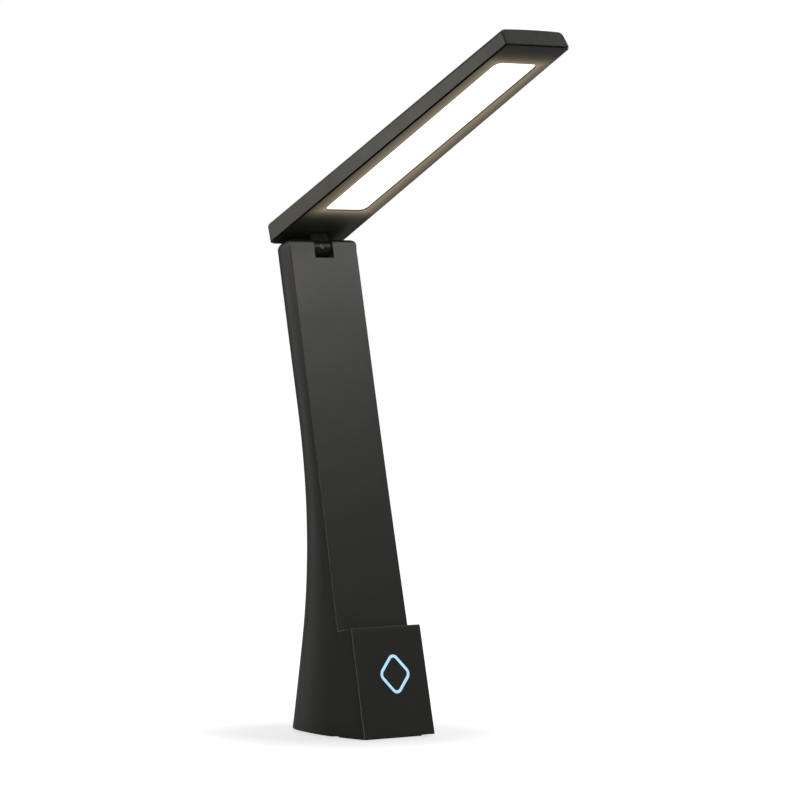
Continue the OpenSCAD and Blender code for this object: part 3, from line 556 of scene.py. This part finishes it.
def tower_inside(name):
    start_z = PAD_T - MM
    end_z = TOP_Z - TOP_WALL / math.cos(LEAN)
    return loft(name, [
        tower_ring(start_z + (end_z - start_z) * i / INSIDE_RINGS, SHELL_WALL, SHELL_WALL)
        for i in range(INSIDE_RINGS + 1)
    ])


print("tower sections:", RING_COUNT + 1 + ROUND_STEPS)

# %% [markdown]
# The casing has two mouldings. The front cover is the flat face, the ledge and the
# pedestal's front, and the rear shell is all the rest. The parting line between them runs
# down the lamp's sides, 2.2 mm behind the front. These shapes cut the casing: the front's
# step, the space behind the cover, the slot for the hinge's knuckle, and the port for
# the charging socket at the back. Each could be a scaled cube, but a flat outline made
# thick says its sizes itself. All but the port are drawn where the front stands upright,
# and the slope's matrix leans them.

# %% Cutting shapes for the casing
FAR = 0.4
ARC_STEPS = 12
SLOT_WIDTH = 13.5 * MM
SLOT_BELOW = 6.9 * MM
SLOT_BEHIND = 8 * MM
PORT_RISE = 16.5 * MM
PORT_WIDTH, PORT_HEIGHT = 9.8 * MM, 4.0 * MM
PORT_STEPS = 10


def behind_cover(name, gap):
    wall = COVER_WALL + gap
    return prism(name, [
        (LEDGE + wall, FAR), (LEDGE + wall, PEDESTAL - wall), (wall, PEDESTAL - wall),
        (wall, -FAR), (FAR, -FAR), (FAR, FAR),
    ], -FAR, FAR, "x", slope)


def slope_front(name):
    arc = []
    for i in range(ARC_STEPS + 1):
        q = math.pi / 2 * i / ARC_STEPS
        arc.append((
            LEDGE + TOP_ROUND * (1 - math.cos(q)), TOP_S - TOP_ROUND * (1 - math.sin(q))
        ))
    step = [(0, -FAR), (0, PEDESTAL), (LEDGE, PEDESTAL)]
    return prism(name, [*step, *arc, (FAR, TOP_S), (FAR, -FAR)], -FAR, FAR, "x", slope)


def slot_cutter(name):
    half, low = SLOT_WIDTH / 2, AXIS_S - SLOT_BELOW
    return prism(
        name, [(-half, low), (half, low), (half, FAR), (-half, FAR)],
        -FAR, AXIS_D + SLOT_BEHIND, "y", slope,
    )


def port_cutter(name):
    r = PORT_HEIGHT / 2
    outline = []
    for side in (1, -1):
        for i in range(PORT_STEPS + 1):
            q = -math.pi / 2 + math.pi * i / PORT_STEPS
            x = side * (PORT_WIDTH / 2 - r + r * math.cos(q))
            outline.append((x, PORT_RISE + side * r * math.sin(q)))
    return prism(name, outline, BASE_DEPTH / 4, BASE_DEPTH, "y")


print("slot", SLOT_WIDTH / MM, "mm wide, port", PORT_WIDTH / MM, "mm wide")

# %% [markdown]
# The touch switch is a lit line in the form of a rounded rhombus. The real one is a
# clear light guide that shows through the pedestal's front, with a black cap inside it.
# The window, the guide and the cap are one rhombus, grown or shrunk, so that they fit
# into each other. The rounded corners are worked out as arcs, because a bevel of a thin
# ring would round its inside and outside differently.

# %% Rounded rhombus
RING_WIDTH, RING_HEIGHT = 20.4 * MM, 22 * MM
RING_ROUND = 4.2 * MM
RING_RISE = 35 * MM
RING_SHIFT = 2.2 * MM
CORNER_STEPS = 10


def rounded_outline(corners, radius):
    points = []
    count = len(corners)
    for i, p in enumerate(corners):
        p = Vector(p)
        a = (Vector(corners[i - 1]) - p).normalized()
        b = (Vector(corners[(i + 1) % count]) - p).normalized()
        half = a.angle(b) / 2
        centre = p + (a + b).normalized() * radius / math.sin(half)
        start = p + a * radius / math.tan(half) - centre
        end = p + b * radius / math.tan(half) - centre
        turn = math.pi - 2 * half
        for k in range(CORNER_STEPS + 1):
            t = k / CORNER_STEPS
            way = start * math.sin(turn * (1 - t)) + end * math.sin(turn * t)
            points.append(tuple(centre + way / math.sin(turn)))
    return points


def ring_block(name, grow, front, back):
    """A rounded rhombus in the pedestal's front, larger by grow all round."""
    w, h, r = RING_WIDTH / 2 + grow, RING_HEIGHT / 2 + grow, RING_ROUND + grow
    side = math.hypot(w, h)
    w, h = w + r * (side / h - 1), h + r * (side / w - 1)
    corners = [(0, h), (-w, 0), (0, -h), (w, 0)]
    outline = [(x + RING_SHIFT, z + RING_RISE) for x, z in rounded_outline(corners, r)]
    return prism(name, outline, front, back, "y", slope)


print("rhombus", RING_WIDTH / MM, "by", RING_HEIGHT / MM, "mm")

# %% [markdown]
# The casing is shaped and rounded as one solid first, and only then split along the
# parting line. So the two mouldings meet in a hairline, as good tooling makes them, and
# only the outer edges are round. The rounding is wider than it needs to be for the hand:
# it is what draws the thin bright lines along the lamp's front edges. The round top
# already has its form, so the rounding stops below it.

# %% Rounded casing
LONG_ROUND = 0.55 * MM
LONG_SEGMENTS = 3
ROUND_BELOW_TOP = 6 * MM
ROUND_ABOVE_FOOT = 0.5 * MM
RING_GAP = 0.05 * MM
AHEAD = 20 * MM


def round_long_edges(made):
    """Rounds the sharp edges below the tower's own round top, and above its foot."""
    face_outwards(made)
    work = bmesh.new()
    work.from_mesh(made.data)
    chosen = []
    for edge in work.edges:
        top = max(v.co.z for v in edge.verts)
        if PAD_T + ROUND_ABOVE_FOOT < top < TOP_Z - ROUND_BELOW_TOP and edge.is_manifold:
            if edge.calc_face_angle() > EDGE_ANGLE:
                chosen.append(edge)
    bmesh.ops.bevel(
        work, geom=chosen, offset=LONG_ROUND, offset_type="OFFSET",
        segments=LONG_SEGMENTS, profile=0.5, affect="EDGES", clamp_overlap=False,
    )
    work.to_mesh(made.data)
    work.free()
    print(made.name, "rounded along", len(chosen), "edges")


def casing(name):
    form = tower_outside(name)
    combine(form, [slope_front("front")], "INTERSECT")
    round_long_edges(form)
    window = ring_block("window", RING_GAP, -AHEAD, LEDGE / 2)
    return combine(form, [slot_cutter("slot"), port_cutter("port"), window], "DIFFERENCE")


print("long edges get", round(LONG_ROUND / MM, 2), "mm")

# %% [markdown]
# The rear shell is a thin-walled moulding: the form hollowed by a smaller copy of itself,
# and cut away where the cover goes. A Solidify modifier would hollow it too, but its
# walls would fold at the tight corners.

# %% Rear shell
SEAM = 0.06 * MM
shell_black = moulded(
    "shell_black", (0.0115, 0.0115, 0.0105), (0.0145, 0.0145, 0.0135), 0.42
)

rear_shell = casing("rear_shell_moulding")
combine(rear_shell, [tower_inside("hollow")], "DIFFERENCE")
combine(rear_shell, [behind_cover("split", SEAM)], "INTERSECT")
shade(rear_shell)
finish_piece(rear_shell, "tower", "shell_black", shell_black, "rear_shell")

# %% [markdown]
# The front cover is what the split leaves in front: a bent plate, 2.2 mm thick, with the
# window for the ring. It could be drawn as a plate of its own, but one casing cut in two
# makes both mouldings meet all the way. Its plastic is the shell's, a shade glossier, as
# flat faces come out of a tool.

# %% Front cover
cover_black = moulded(
    "cover_black", (0.0115, 0.0115, 0.0108), (0.0135, 0.0135, 0.0128), 0.4
)

front_cover = casing("front_cover_moulding")
combine(front_cover, [behind_cover("split", 0)], "DIFFERENCE")
shade(front_cover)
finish_piece(front_cover, "tower", "cover_black", cover_black, "front_cover")

# %% [markdown]
# The light guide is a raised ring on a plate that lies behind the cover. It glows pale
# blue. A light behind clear plastic would give that too, slowly and with noise, so the
# glow is the material's own. Faint clouds keep it from being one flat colour.

# %% Touch ring and cap
RING_LINE = 1.7 * MM
GUIDE_MARGIN = 2 * MM
GUIDE_T = 1.4 * MM
OVERLAP = 0.2 * MM
HOLE_FRONT = -10 * MM
GUIDE_EDGE, CAP_EDGE = 0.12 * MM, 0.15 * MM
LIT_SHADE = 0.95
LIT_CLOUDS = 40.0
LIT_ROUGH = 0.35


def lit(name, base, glow_colour, strength):
    made, tree, shader = material_base(name)
    cloudy_colour(tree, shader, [c * LIT_SHADE for c in base], base, LIT_CLOUDS)
    shader.inputs["Roughness"].default_value = LIT_ROUGH
    shader.inputs["Emission Color"].default_value = (*glow_colour, 1)
    shader.inputs["Emission Strength"].default_value = strength
    print("finish", name)
    return made


ring_lit = lit("ring_lit", (0.40, 0.60, 0.74), (0.40, 0.66, 0.86), 0.62)
touch_ring = ring_block("touch_ring_guide", 0, 0, COVER_WALL + OVERLAP)
combine(touch_ring, [ring_block("hole", -RING_LINE, HOLE_FRONT, COVER_WALL)], "DIFFERENCE")
guide = ring_block("guide", GUIDE_MARGIN, COVER_WALL, COVER_WALL + GUIDE_T)
combine(touch_ring, [guide], "UNION")
soften(touch_ring, GUIDE_EDGE, 2)
finish_piece(touch_ring, "tower", "ring_lit", ring_lit, "touch_ring")

touch_cap = ring_block("touch_cap_moulding", -RING_LINE - RING_GAP, 0, COVER_WALL)
soften(touch_cap, CAP_EDGE, 3)
finish_piece(touch_cap, "tower", "cover_black", cover_black, "touch_cap")

# %% [markdown]
# The head's sizes, in metres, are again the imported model's, but for the rounder long
# edges at the tip. Points on it could be written in the lamp's frame, but each number
# would carry the tilt. So the head has a frame of its own, with its underside at height
# 0 and its length running forwards. The hinge and the opening angle put it in place.

# %% Sizes of the head
OPEN_TILT = math.radians(26.8)
FOLDED_GAP = 0.5 * MM
HEAD_WIDTH, TIP_WIDTH = 49.6 * MM, 44.9 * MM
HEAD_T, TIP_T = 12.2 * MM, 11.1 * MM
HEAD_BEHIND = 10 * MM
TIP_GAP = 0.6 * MM
HEAD_ROUND, TIP_ROUND = 2 * MM, 2.8 * MM
END_ROUND = 1 * MM
HEEL_CORNER = 3.5 * MM
HEEL_ROUND = 1.2 * MM
HEAD_CROWN = 0.4 * MM
SIDE_DRAFT = 0.8 * MM
END_DRAFT = 1.2 * MM
HEAD_WALL = 1.8 * MM
FRAME_T = 1.4 * MM
FRAME_STEP = 0.35 * MM
LIGHT_WIDTH = 29.6 * MM
LIGHT_LENGTH = 168 * MM
LIGHT_MARGIN = 18.8 * MM
LIGHT_ROUND = 4.6 * MM
LIGHT_RECESS = 0.8 * MM

LIGHT_DROP = AXIS_DEPTH + FOLDED_GAP
TIP_L = FACE_LENGTH - AXIS_BELOW_TOP - TIP_GAP
LIGHT_MID = TIP_L - LIGHT_MARGIN - LIGHT_LENGTH / 2

hinge = Matrix.Translation(axis_point) @ Matrix.Rotation(-OPEN_TILT, 4, "X")
head = hinge @ Matrix.Translation((0, 0, LIGHT_DROP))
print("head reaches", round(TIP_L, 4), "m past the hinge")

# %% [markdown]
# The head is a thin tray, open below, with leaning sides, round long edges and a faint
# crown along its top. It is a little thicker, and has round corners, at the hinge end. A
# bevelled box would come close, but its sides taper, lean and round at once. So it is
# lofted as the tower is: each ring is one cross-section of the tray, and rings close
# together at both ends draw the round corners.

# %% Form of the head
EDGE_STEPS = 10
CROWN_STEPS = 8
HEEL_STEPS = 12
LENGTH_STEPS = 16
TIP_STEPS = 6


def head_share(l):
    return (l + HEAD_BEHIND) / (TIP_L + HEAD_BEHIND)


def head_half(l):
    return (HEAD_WIDTH + (TIP_WIDTH - HEAD_WIDTH) * head_share(l)) / 2


def head_top(l):
    return HEAD_T + (TIP_T - HEAD_T) * head_share(l)


def head_ring(l, inset, low, share, side_in=0.0, top_in=0.0):
    w = head_half(l) - inset - side_in
    edge = head_top(l) - inset - top_in - HEAD_CROWN
    r = (HEAD_ROUND - inset) + (TIP_ROUND - HEAD_ROUND) * head_share(l)
    w_top = w - SIDE_DRAFT * edge / HEAD_T
    half = [(w - SIDE_DRAFT * low / HEAD_T, low)]
    for i in range(EDGE_STEPS + 1):
        q = math.pi / 2 * i / EDGE_STEPS
        half.append((w_top - r + r * math.cos(q), edge - r + r * math.sin(q)))
    for i in range(1, CROWN_STEPS + 1):
        t = i / CROWN_STEPS
        half.append(((w_top - r) * (1 - t), edge + HEAD_CROWN * (1 - (1 - t) ** 2)))
    flat = [(-x, z) for x, z in half] + half[-2::-1]
    return [(x, -l + share * END_DRAFT * z / HEAD_T, z) for x, z in flat]


def quarter(steps):
    """Heights up a quarter round, from 0 to 1, that space its points evenly."""
    return [math.sin(math.pi / 2 * i / steps) for i in range(steps + 1)]


def head_solid(name, inset, low, rounding):
    start, end = -HEAD_BEHIND + inset, TIP_L - inset
    corner = HEEL_CORNER - inset
    rings = []
    for rise in reversed(quarter(HEEL_STEPS)):
        h = corner * rise
        top_in = drawn_in(rounding, h - corner + rounding)
        rings.append(head_ring(
            start + corner - h, inset, low, -1, drawn_in(corner, h), top_in
        ))
    for i in range(1, LENGTH_STEPS):
        t = i / LENGTH_STEPS
        rings.append(head_ring(start + (end - start) * t, inset, low, 2 * t - 1))
    for rise in quarter(TIP_STEPS) if rounding else [1]:
        h = rounding * rise
        drawn = drawn_in(rounding, h)
        rings.append(head_ring(end - rounding + h, inset, low, 1, drawn, drawn))
    return loft(name, rings, head)


print("head is", round(2 * head_half(TIP_L) / MM, 1), "mm wide at its tip")

# %% [markdown]
# The head's shell is that form less a smaller copy of it, open below. A Solidify
# modifier could make the wall too, but a smaller copy has the same tapers, so the wall
# stays even. The head's plastic is given a warmer, less black colour than the tower's:
# that is painted light, for the panel's and the desk's light that falls on it.

# %% Head shell
SHELL_LOW = 1.1 * MM
SHELL_EDGE = 0.2 * MM

# lighter and warmer than the tower's black: painted light from the panel and the desk
head_black = moulded(
    "head_black", (0.0150, 0.0146, 0.0130), (0.0185, 0.0180, 0.0160), 0.44
)

head_shell = head_solid("head_shell_moulding", 0, SHELL_LOW, END_ROUND)
combine(head_shell, [head_solid("hollow", HEAD_WALL, FRAME_T - MM, 0)], "DIFFERENCE")
soften(head_shell, SHELL_EDGE, 3)
finish_piece(head_shell, "head", "head_black", head_black, "head_shell")

# %% [markdown]
# The panel and the frame round it both change with the distance from the window's edge:
# the opal panel is creamier just inside it, and the thin black frame gets a painted warm
# glow, which fades outwards. Real light through plastic would need long renders. These
# nodes measure the distance instead, in the head's own frame, so the painted glow stays
# in place as the head turns.

# %% Distance from the window's edge
def calc(tree, operation, *values):
    made = node(tree, "ShaderNodeMath", operation=operation)
    for i, value in enumerate(values):
        if isinstance(value, (int, float)):
            made.inputs[i].default_value = value
        else:
            tree.links.new(value, made.inputs[i])
    return made.outputs["Value"]


def beyond_window(tree):
    """How far a point is past the window's sides and past its ends."""
    where = node(tree, "ShaderNodeTexCoord")
    turn = node(tree, "ShaderNodeMapping", vector_type="TEXTURE")
    turn.inputs["Location"].default_value = head @ Vector((0, -LIGHT_MID, 0))
    turn.inputs["Rotation"].default_value = (-OPEN_TILT, 0, 0)
    parts = node(tree, "ShaderNodeSeparateXYZ")
    tree.links.new(where.outputs["Object"], turn.inputs["Vector"])
    tree.links.new(turn.outputs["Vector"], parts.inputs["Vector"])
    return [
        calc(tree, "SUBTRACT", calc(tree, "ABSOLUTE", parts.outputs[axis]), size / 2)
        for axis, size in (("X", LIGHT_WIDTH), ("Y", LIGHT_LENGTH))
    ]


print("window", LIGHT_WIDTH / MM, "by", LIGHT_LENGTH / MM, "mm")

# %% [markdown]
# The frame's plastic is the shell's, and thin enough to let some of the panel's light
# through. It could be a translucent plate with lamps behind it, but those make a grainy
# picture. So the light is painted: the frame's material emits a warm painted glow, most
# at the window's edge. The painted glow is on the flat underside alone, and not on the
# frame's edges: the way that a face points tells them apart.

# %% Painted glow of the frame
GLOW_REACH, END_REACH = 6.5 * MM, 3.6 * MM
PAINTED_GLOW = 0.27
PAINTED_GLOW_COLOUR = (1.0, 0.82, 0.56, 1)
# how far down a face points, at no glow and at full glow, where -1 is straight down
FLAT_FROM, FLAT_TO = -0.8, -0.98


def add_painted_glow(made):
    """Painted warm glow on the frame's flat underside, and none on its edges."""
    tree = made.node_tree
    shader = next(n for n in tree.nodes if n.type == "BSDF_PRINCIPLED")
    squares = []
    for far_out, reached in zip(beyond_window(tree), (GLOW_REACH, END_REACH)):
        share = calc(tree, "DIVIDE", calc(tree, "MAXIMUM", far_out, 0.0), reached)
        squares.append(calc(tree, "MULTIPLY", share, share))
    away = calc(tree, "SQRT", calc(tree, "ADD", *squares))
    fade = calc(tree, "EXPONENT", calc(tree, "MULTIPLY", away, -1.0))
    shape = node(tree, "ShaderNodeNewGeometry")
    own = node(tree, "ShaderNodeVectorTransform", vector_type="NORMAL")
    own.convert_from, own.convert_to = "WORLD", "OBJECT"
    turn = node(tree, "ShaderNodeVectorRotate", rotation_type="X_AXIS")
    turn.inputs["Angle"].default_value = OPEN_TILT
    parts = node(tree, "ShaderNodeSeparateXYZ")
    below = node(tree, "ShaderNodeMapRange")
    below.inputs["From Min"].default_value = FLAT_FROM
    below.inputs["From Max"].default_value = FLAT_TO
    tree.links.new(shape.outputs["True Normal"], own.inputs["Vector"])
    tree.links.new(own.outputs["Vector"], turn.inputs["Vector"])
    tree.links.new(turn.outputs["Vector"], parts.inputs["Vector"])
    tree.links.new(parts.outputs["Z"], below.inputs["Value"])
    fade = calc(tree, "MULTIPLY", fade, below.outputs["Result"])
    fade = calc(tree, "MULTIPLY", fade, PAINTED_GLOW)
    tree.links.new(fade, shader.inputs["Emission Strength"])
    shader.inputs["Emission Color"].default_value = PAINTED_GLOW_COLOUR
    return made


# the head's lighter colour, which is painted light, plus a painted glow round the window
frame_black_painted_glow = add_painted_glow(
    moulded("frame_black_painted_glow", (0.0150, 0.0146, 0.0130), (0.0185, 0.0180, 0.0160), 0.42)
)

# %% [markdown]
# The frame closes the tray's mouth, and its window holds the panel. A narrow groove
# above its thin lip draws the dark line that the photograph shows along the head's lower
# edges: a real groove does that from every side, where a painted stripe would do it
# from one. At the hinge end the lip draws in, so that it clears the tower's top as the
# head opens. So the frame is a loft of four outlines, and not one outline made thick.

# %% Outline of the frame
TIP_CORNER, SMALL_CORNER = 1 * MM, 0.2 * MM


def frame_ring(z, step):
    """The frame's outline at a height, a step inside the head's own."""
    near = HEEL_CORNER - step
    tip = max(TIP_CORNER + FRAME_STEP - step, SMALL_CORNER)
    start, end = -HEAD_BEHIND + step, TIP_L - step
    near_y = -start - near - drawn_in(HEEL_ROUND, HEEL_ROUND - z)
    near_x = head_half(start) - step - near
    far_y = -end + tip
    far_x = head_half(end) - step - tip
    corners = [
        (-near_x, near_y, near, 180), (near_x, near_y, near, 90),
        (far_x, far_y, tip, 0), (-far_x, far_y, tip, -90),
    ]
    points = []
    for x, y, r, start_turn in corners:
        for i in range(ARC_STEPS + 1):
            a = math.radians(start_turn - 90 * i / ARC_STEPS)
            points.append((x + r * math.cos(a), y + r * math.sin(a), z))
    return points


def rectangle(w, h, middle=0.0):
    return [
        (-w / 2, middle - h / 2), (w / 2, middle - h / 2),
        (w / 2, middle + h / 2), (-w / 2, middle + h / 2),
    ]


print("frame outline has", len(frame_ring(0, FRAME_STEP)), "points")

# %% [markdown]
# The window and a hole for the knuckle's neck are then cut through the frame. They could
# be left out of the mesh from the start, but a cut keeps each outline simple.

# %% Light frame
LIP_T = 0.3 * MM
GROOVE = 1.9 * MM
FIT_GAP = 0.2 * MM
KNUCKLE_R, KNUCKLE_W = 5.6 * MM, 12.5 * MM
FRAME_EDGE = 0.06 * MM

lip = [frame_ring(0, FRAME_STEP)]
body = [frame_ring(z, GROOVE) for z in (LIP_T, HEEL_ROUND, FRAME_T)]
light_frame = loft("light_frame_moulding", lip + body, head)
window = rounded_outline(rectangle(LIGHT_WIDTH, LIGHT_LENGTH, -LIGHT_MID), LIGHT_ROUND)
opening = prism("opening", window, -MM, 2 * FRAME_T, "z", head)
neck = rectangle(KNUCKLE_W + 2 * FIT_GAP, 2 * (KNUCKLE_R + FIT_GAP))
neck_hole = prism("neck_hole", neck, -MM, 2 * FRAME_T, "z", head)
combine(light_frame, [opening, neck_hole], "DIFFERENCE")
soften(light_frame, FRAME_EDGE, 2)
finish_piece(light_frame, "head", "head_black", frame_black_painted_glow, "light_frame")

# %% [markdown]
# The diffuser is an opal plate, sunk a little behind the frame's face. The light chips
# could shine through it, but the picture would stay grainy. Scattered light leaves an
# opal plate evenly from all over it, so the plate itself emits. Near its rim the light
# is weaker and creamier.

# %% Diffuser
RIM_REACH = 3 * MM
PANEL_LIGHT = 2.2
PANEL_WHITE, PANEL_CREAM = (1.0, 0.97, 0.90, 1), (0.46, 0.40, 0.31, 1)
PANEL_ROUGH = 0.4
PANEL_EDGE = 0.15 * MM


def opal_panel(name):
    made, tree, shader = material_base(name)
    cloudy_colour(tree, shader, (0.86, 0.85, 0.80), (0.90, 0.89, 0.85), LIT_CLOUDS)
    inside = calc(tree, "MAXIMUM", *beyond_window(tree))
    rim = node(tree, "ShaderNodeMapRange", interpolation_type="SMOOTHSTEP")
    rim.inputs["From Min"].default_value = -RIM_REACH
    rim.inputs["From Max"].default_value = 0
    tree.links.new(inside, rim.inputs["Value"])
    tint = node(tree, "ShaderNodeMix", data_type="RGBA")
    tint.inputs["A"].default_value = PANEL_WHITE
    tint.inputs["B"].default_value = PANEL_CREAM
    tree.links.new(rim.outputs["Result"], tint.inputs["Factor"])
    tree.links.new(tint.outputs["Result"], shader.inputs["Emission Color"])
    shader.inputs["Emission Strength"].default_value = PANEL_LIGHT
    shader.inputs["Roughness"].default_value = PANEL_ROUGH
    print("finish", name)
    return made


diffuser_lit = opal_panel("diffuser_lit")
plate = rectangle(LIGHT_WIDTH - FIT_GAP, LIGHT_LENGTH - FIT_GAP, -LIGHT_MID)
diffuser = prism(
    "diffuser_panel", rounded_outline(plate, LIGHT_ROUND), LIGHT_RECESS, FRAME_T, "z", head
)
soften(diffuser, PANEL_EDGE, 2)
finish_piece(diffuser, "head", "diffuser_lit", diffuser_lit, "diffuser")

# %% [markdown]
# The metal pieces are plated or brushed. Brushing leaves fine scratches all one way.
# The shader's anisotropy could stand for them, but a noise squeezed along one axis does
# the same at this size. Its streaks run across that axis, break up the shine, and give a
# bump as shallow as scratches are.

# %% Metals
SCRATCH_BUMP = 0.08
SCRATCH_DEPTH = 0.02 * MM
SCRATCH_SCALE = 900.0
SCRATCH_DETAIL = 3
METAL_SPREAD = 0.08
ACROSS_Y, ACROSS_Z = (1, 20, 1), (1, 1, 30)


def metal(name, colour, rough, squeeze=ACROSS_Z):
    made, tree, shader = material_base(name)
    where = node(tree, "ShaderNodeTexCoord")
    narrow = node(tree, "ShaderNodeMapping")
    narrow.inputs["Scale"].default_value = squeeze
    noise = node(tree, "ShaderNodeTexNoise")
    noise.inputs["Scale"].default_value = SCRATCH_SCALE
    noise.inputs["Detail"].default_value = SCRATCH_DETAIL
    spread = node(tree, "ShaderNodeMapRange")
    spread.inputs["To Min"].default_value = rough - METAL_SPREAD
    spread.inputs["To Max"].default_value = rough + METAL_SPREAD
    bump = node(tree, "ShaderNodeBump")
    bump.inputs["Strength"].default_value = SCRATCH_BUMP
    bump.inputs["Distance"].default_value = SCRATCH_DEPTH
    tree.links.new(where.outputs["Object"], narrow.inputs["Vector"])
    tree.links.new(narrow.outputs["Vector"], noise.inputs["Vector"])
    tree.links.new(noise.outputs["Fac"], spread.inputs["Value"])
    tree.links.new(spread.outputs["Result"], shader.inputs["Roughness"])
    tree.links.new(noise.outputs["Fac"], bump.inputs["Height"])
    tree.links.new(bump.outputs["Normal"], shader.inputs["Normal"])
    shader.inputs["Base Color"].default_value = (*colour, 1)
    shader.inputs["Metallic"].default_value = 1
    print("finish", name)
    return made


screw_steel = metal("screw_steel", (0.45, 0.45, 0.45), 0.35)
screw_black = metal("screw_black", (0.06, 0.06, 0.06), 0.42)
bracket_steel = metal("bracket_steel", (0.42, 0.42, 0.43), 0.38)
ballast_steel = metal("ballast_steel", (0.33, 0.33, 0.34), 0.5, ACROSS_Y)
socket_steel = metal("socket_steel", (0.55, 0.55, 0.56), 0.3, ACROSS_Y)
heat_aluminium = metal("heat_aluminium", (0.70, 0.71, 0.72), 0.4, ACROSS_Y)
contact_brass = metal("contact_brass", (0.62, 0.45, 0.18), 0.3)

# %% [markdown]
# The other plastics and the boards' lights. The knuckle's plastic is made the darkest,
# a painted shade for the shadow of the slot that it sits in, and the rubber pad is dull
# with a coarse grain. The inside pieces are only seen where the lamp is taken apart. One
# grey could do for them all, but with real finishes each can be told from its neighbour.

# %% Other finishes
# the knuckle's near-black colour is painted shade, for the shadow of the slot and the head
knuckle_black = moulded(
    "knuckle_black", (0.006, 0.006, 0.0055), (0.008, 0.008, 0.0075), 0.4, shine=0.3
)
inner_black = moulded("inner_black", (0.018, 0.018, 0.018), (0.022, 0.022, 0.022), 0.5)
pad_rubber = moulded(
    "pad_rubber", (0.012, 0.012, 0.012), (0.018, 0.018, 0.018), 0.75,
    grain=RUBBER_GRAIN, depth=0.3, shine=0.3,
)
tray_white = moulded("tray_white", (0.80, 0.80, 0.78), (0.85, 0.85, 0.83), 0.3)
board_green = moulded("board_green", (0.02, 0.085, 0.035), (0.025, 0.10, 0.045), 0.3)
cell_wrap = moulded("cell_wrap", (0.045, 0.11, 0.30), (0.05, 0.13, 0.34), 0.3)
wire_red = moulded("wire_red", (0.42, 0.03, 0.02), (0.47, 0.035, 0.025), 0.45)
chip_blue = lit("chip_blue", (0.60, 0.75, 0.90), (0.4, 0.7, 1.0), 0.5)
chip_warm = lit("chip_warm", (0.90, 0.72, 0.20), (1.0, 0.85, 0.5), 1.0)

# %% [markdown]
# The knuckle is the head's foot in the tower's slot, a barrel with a neck. It and all
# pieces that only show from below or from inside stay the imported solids, whose shapes
# are exact. A table gives each its finish, which replaces the loader's plain one.

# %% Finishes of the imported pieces
finishes = {
    "base_plate": inner_black, "base_pad": pad_rubber, "base_screws": screw_steel,
    "ballast": ballast_steel, "battery_cradle": inner_black, "battery_cell": cell_wrap,
    "cradle_screws": screw_steel, "charge_board": board_green,
    "charge_socket": socket_steel, "control_board": board_green,
    "board_screws": screw_steel, "touch_contact": contact_brass,
    "ring_lights": chip_blue, "hinge_bracket": bracket_steel,
    "bracket_screws": screw_steel, "tower_wire": wire_red, "hinge_pin": bracket_steel,
    "friction_washers": bracket_steel, "pin_nut": screw_steel,
    "hinge_knuckle": knuckle_black, "lock_screw": screw_black,
    "knuckle_screws": screw_steel, "reflector_tray": tray_white, "led_board": tray_white,
    "light_chips": chip_warm, "heat_plate": heat_aluminium, "head_wire": wire_red,
}
for name, material in finishes.items():
    mesh = nodes[name].data
    mesh.materials.clear()
    mesh.materials.append(material)
print("finished", len(finishes), "packed pieces")
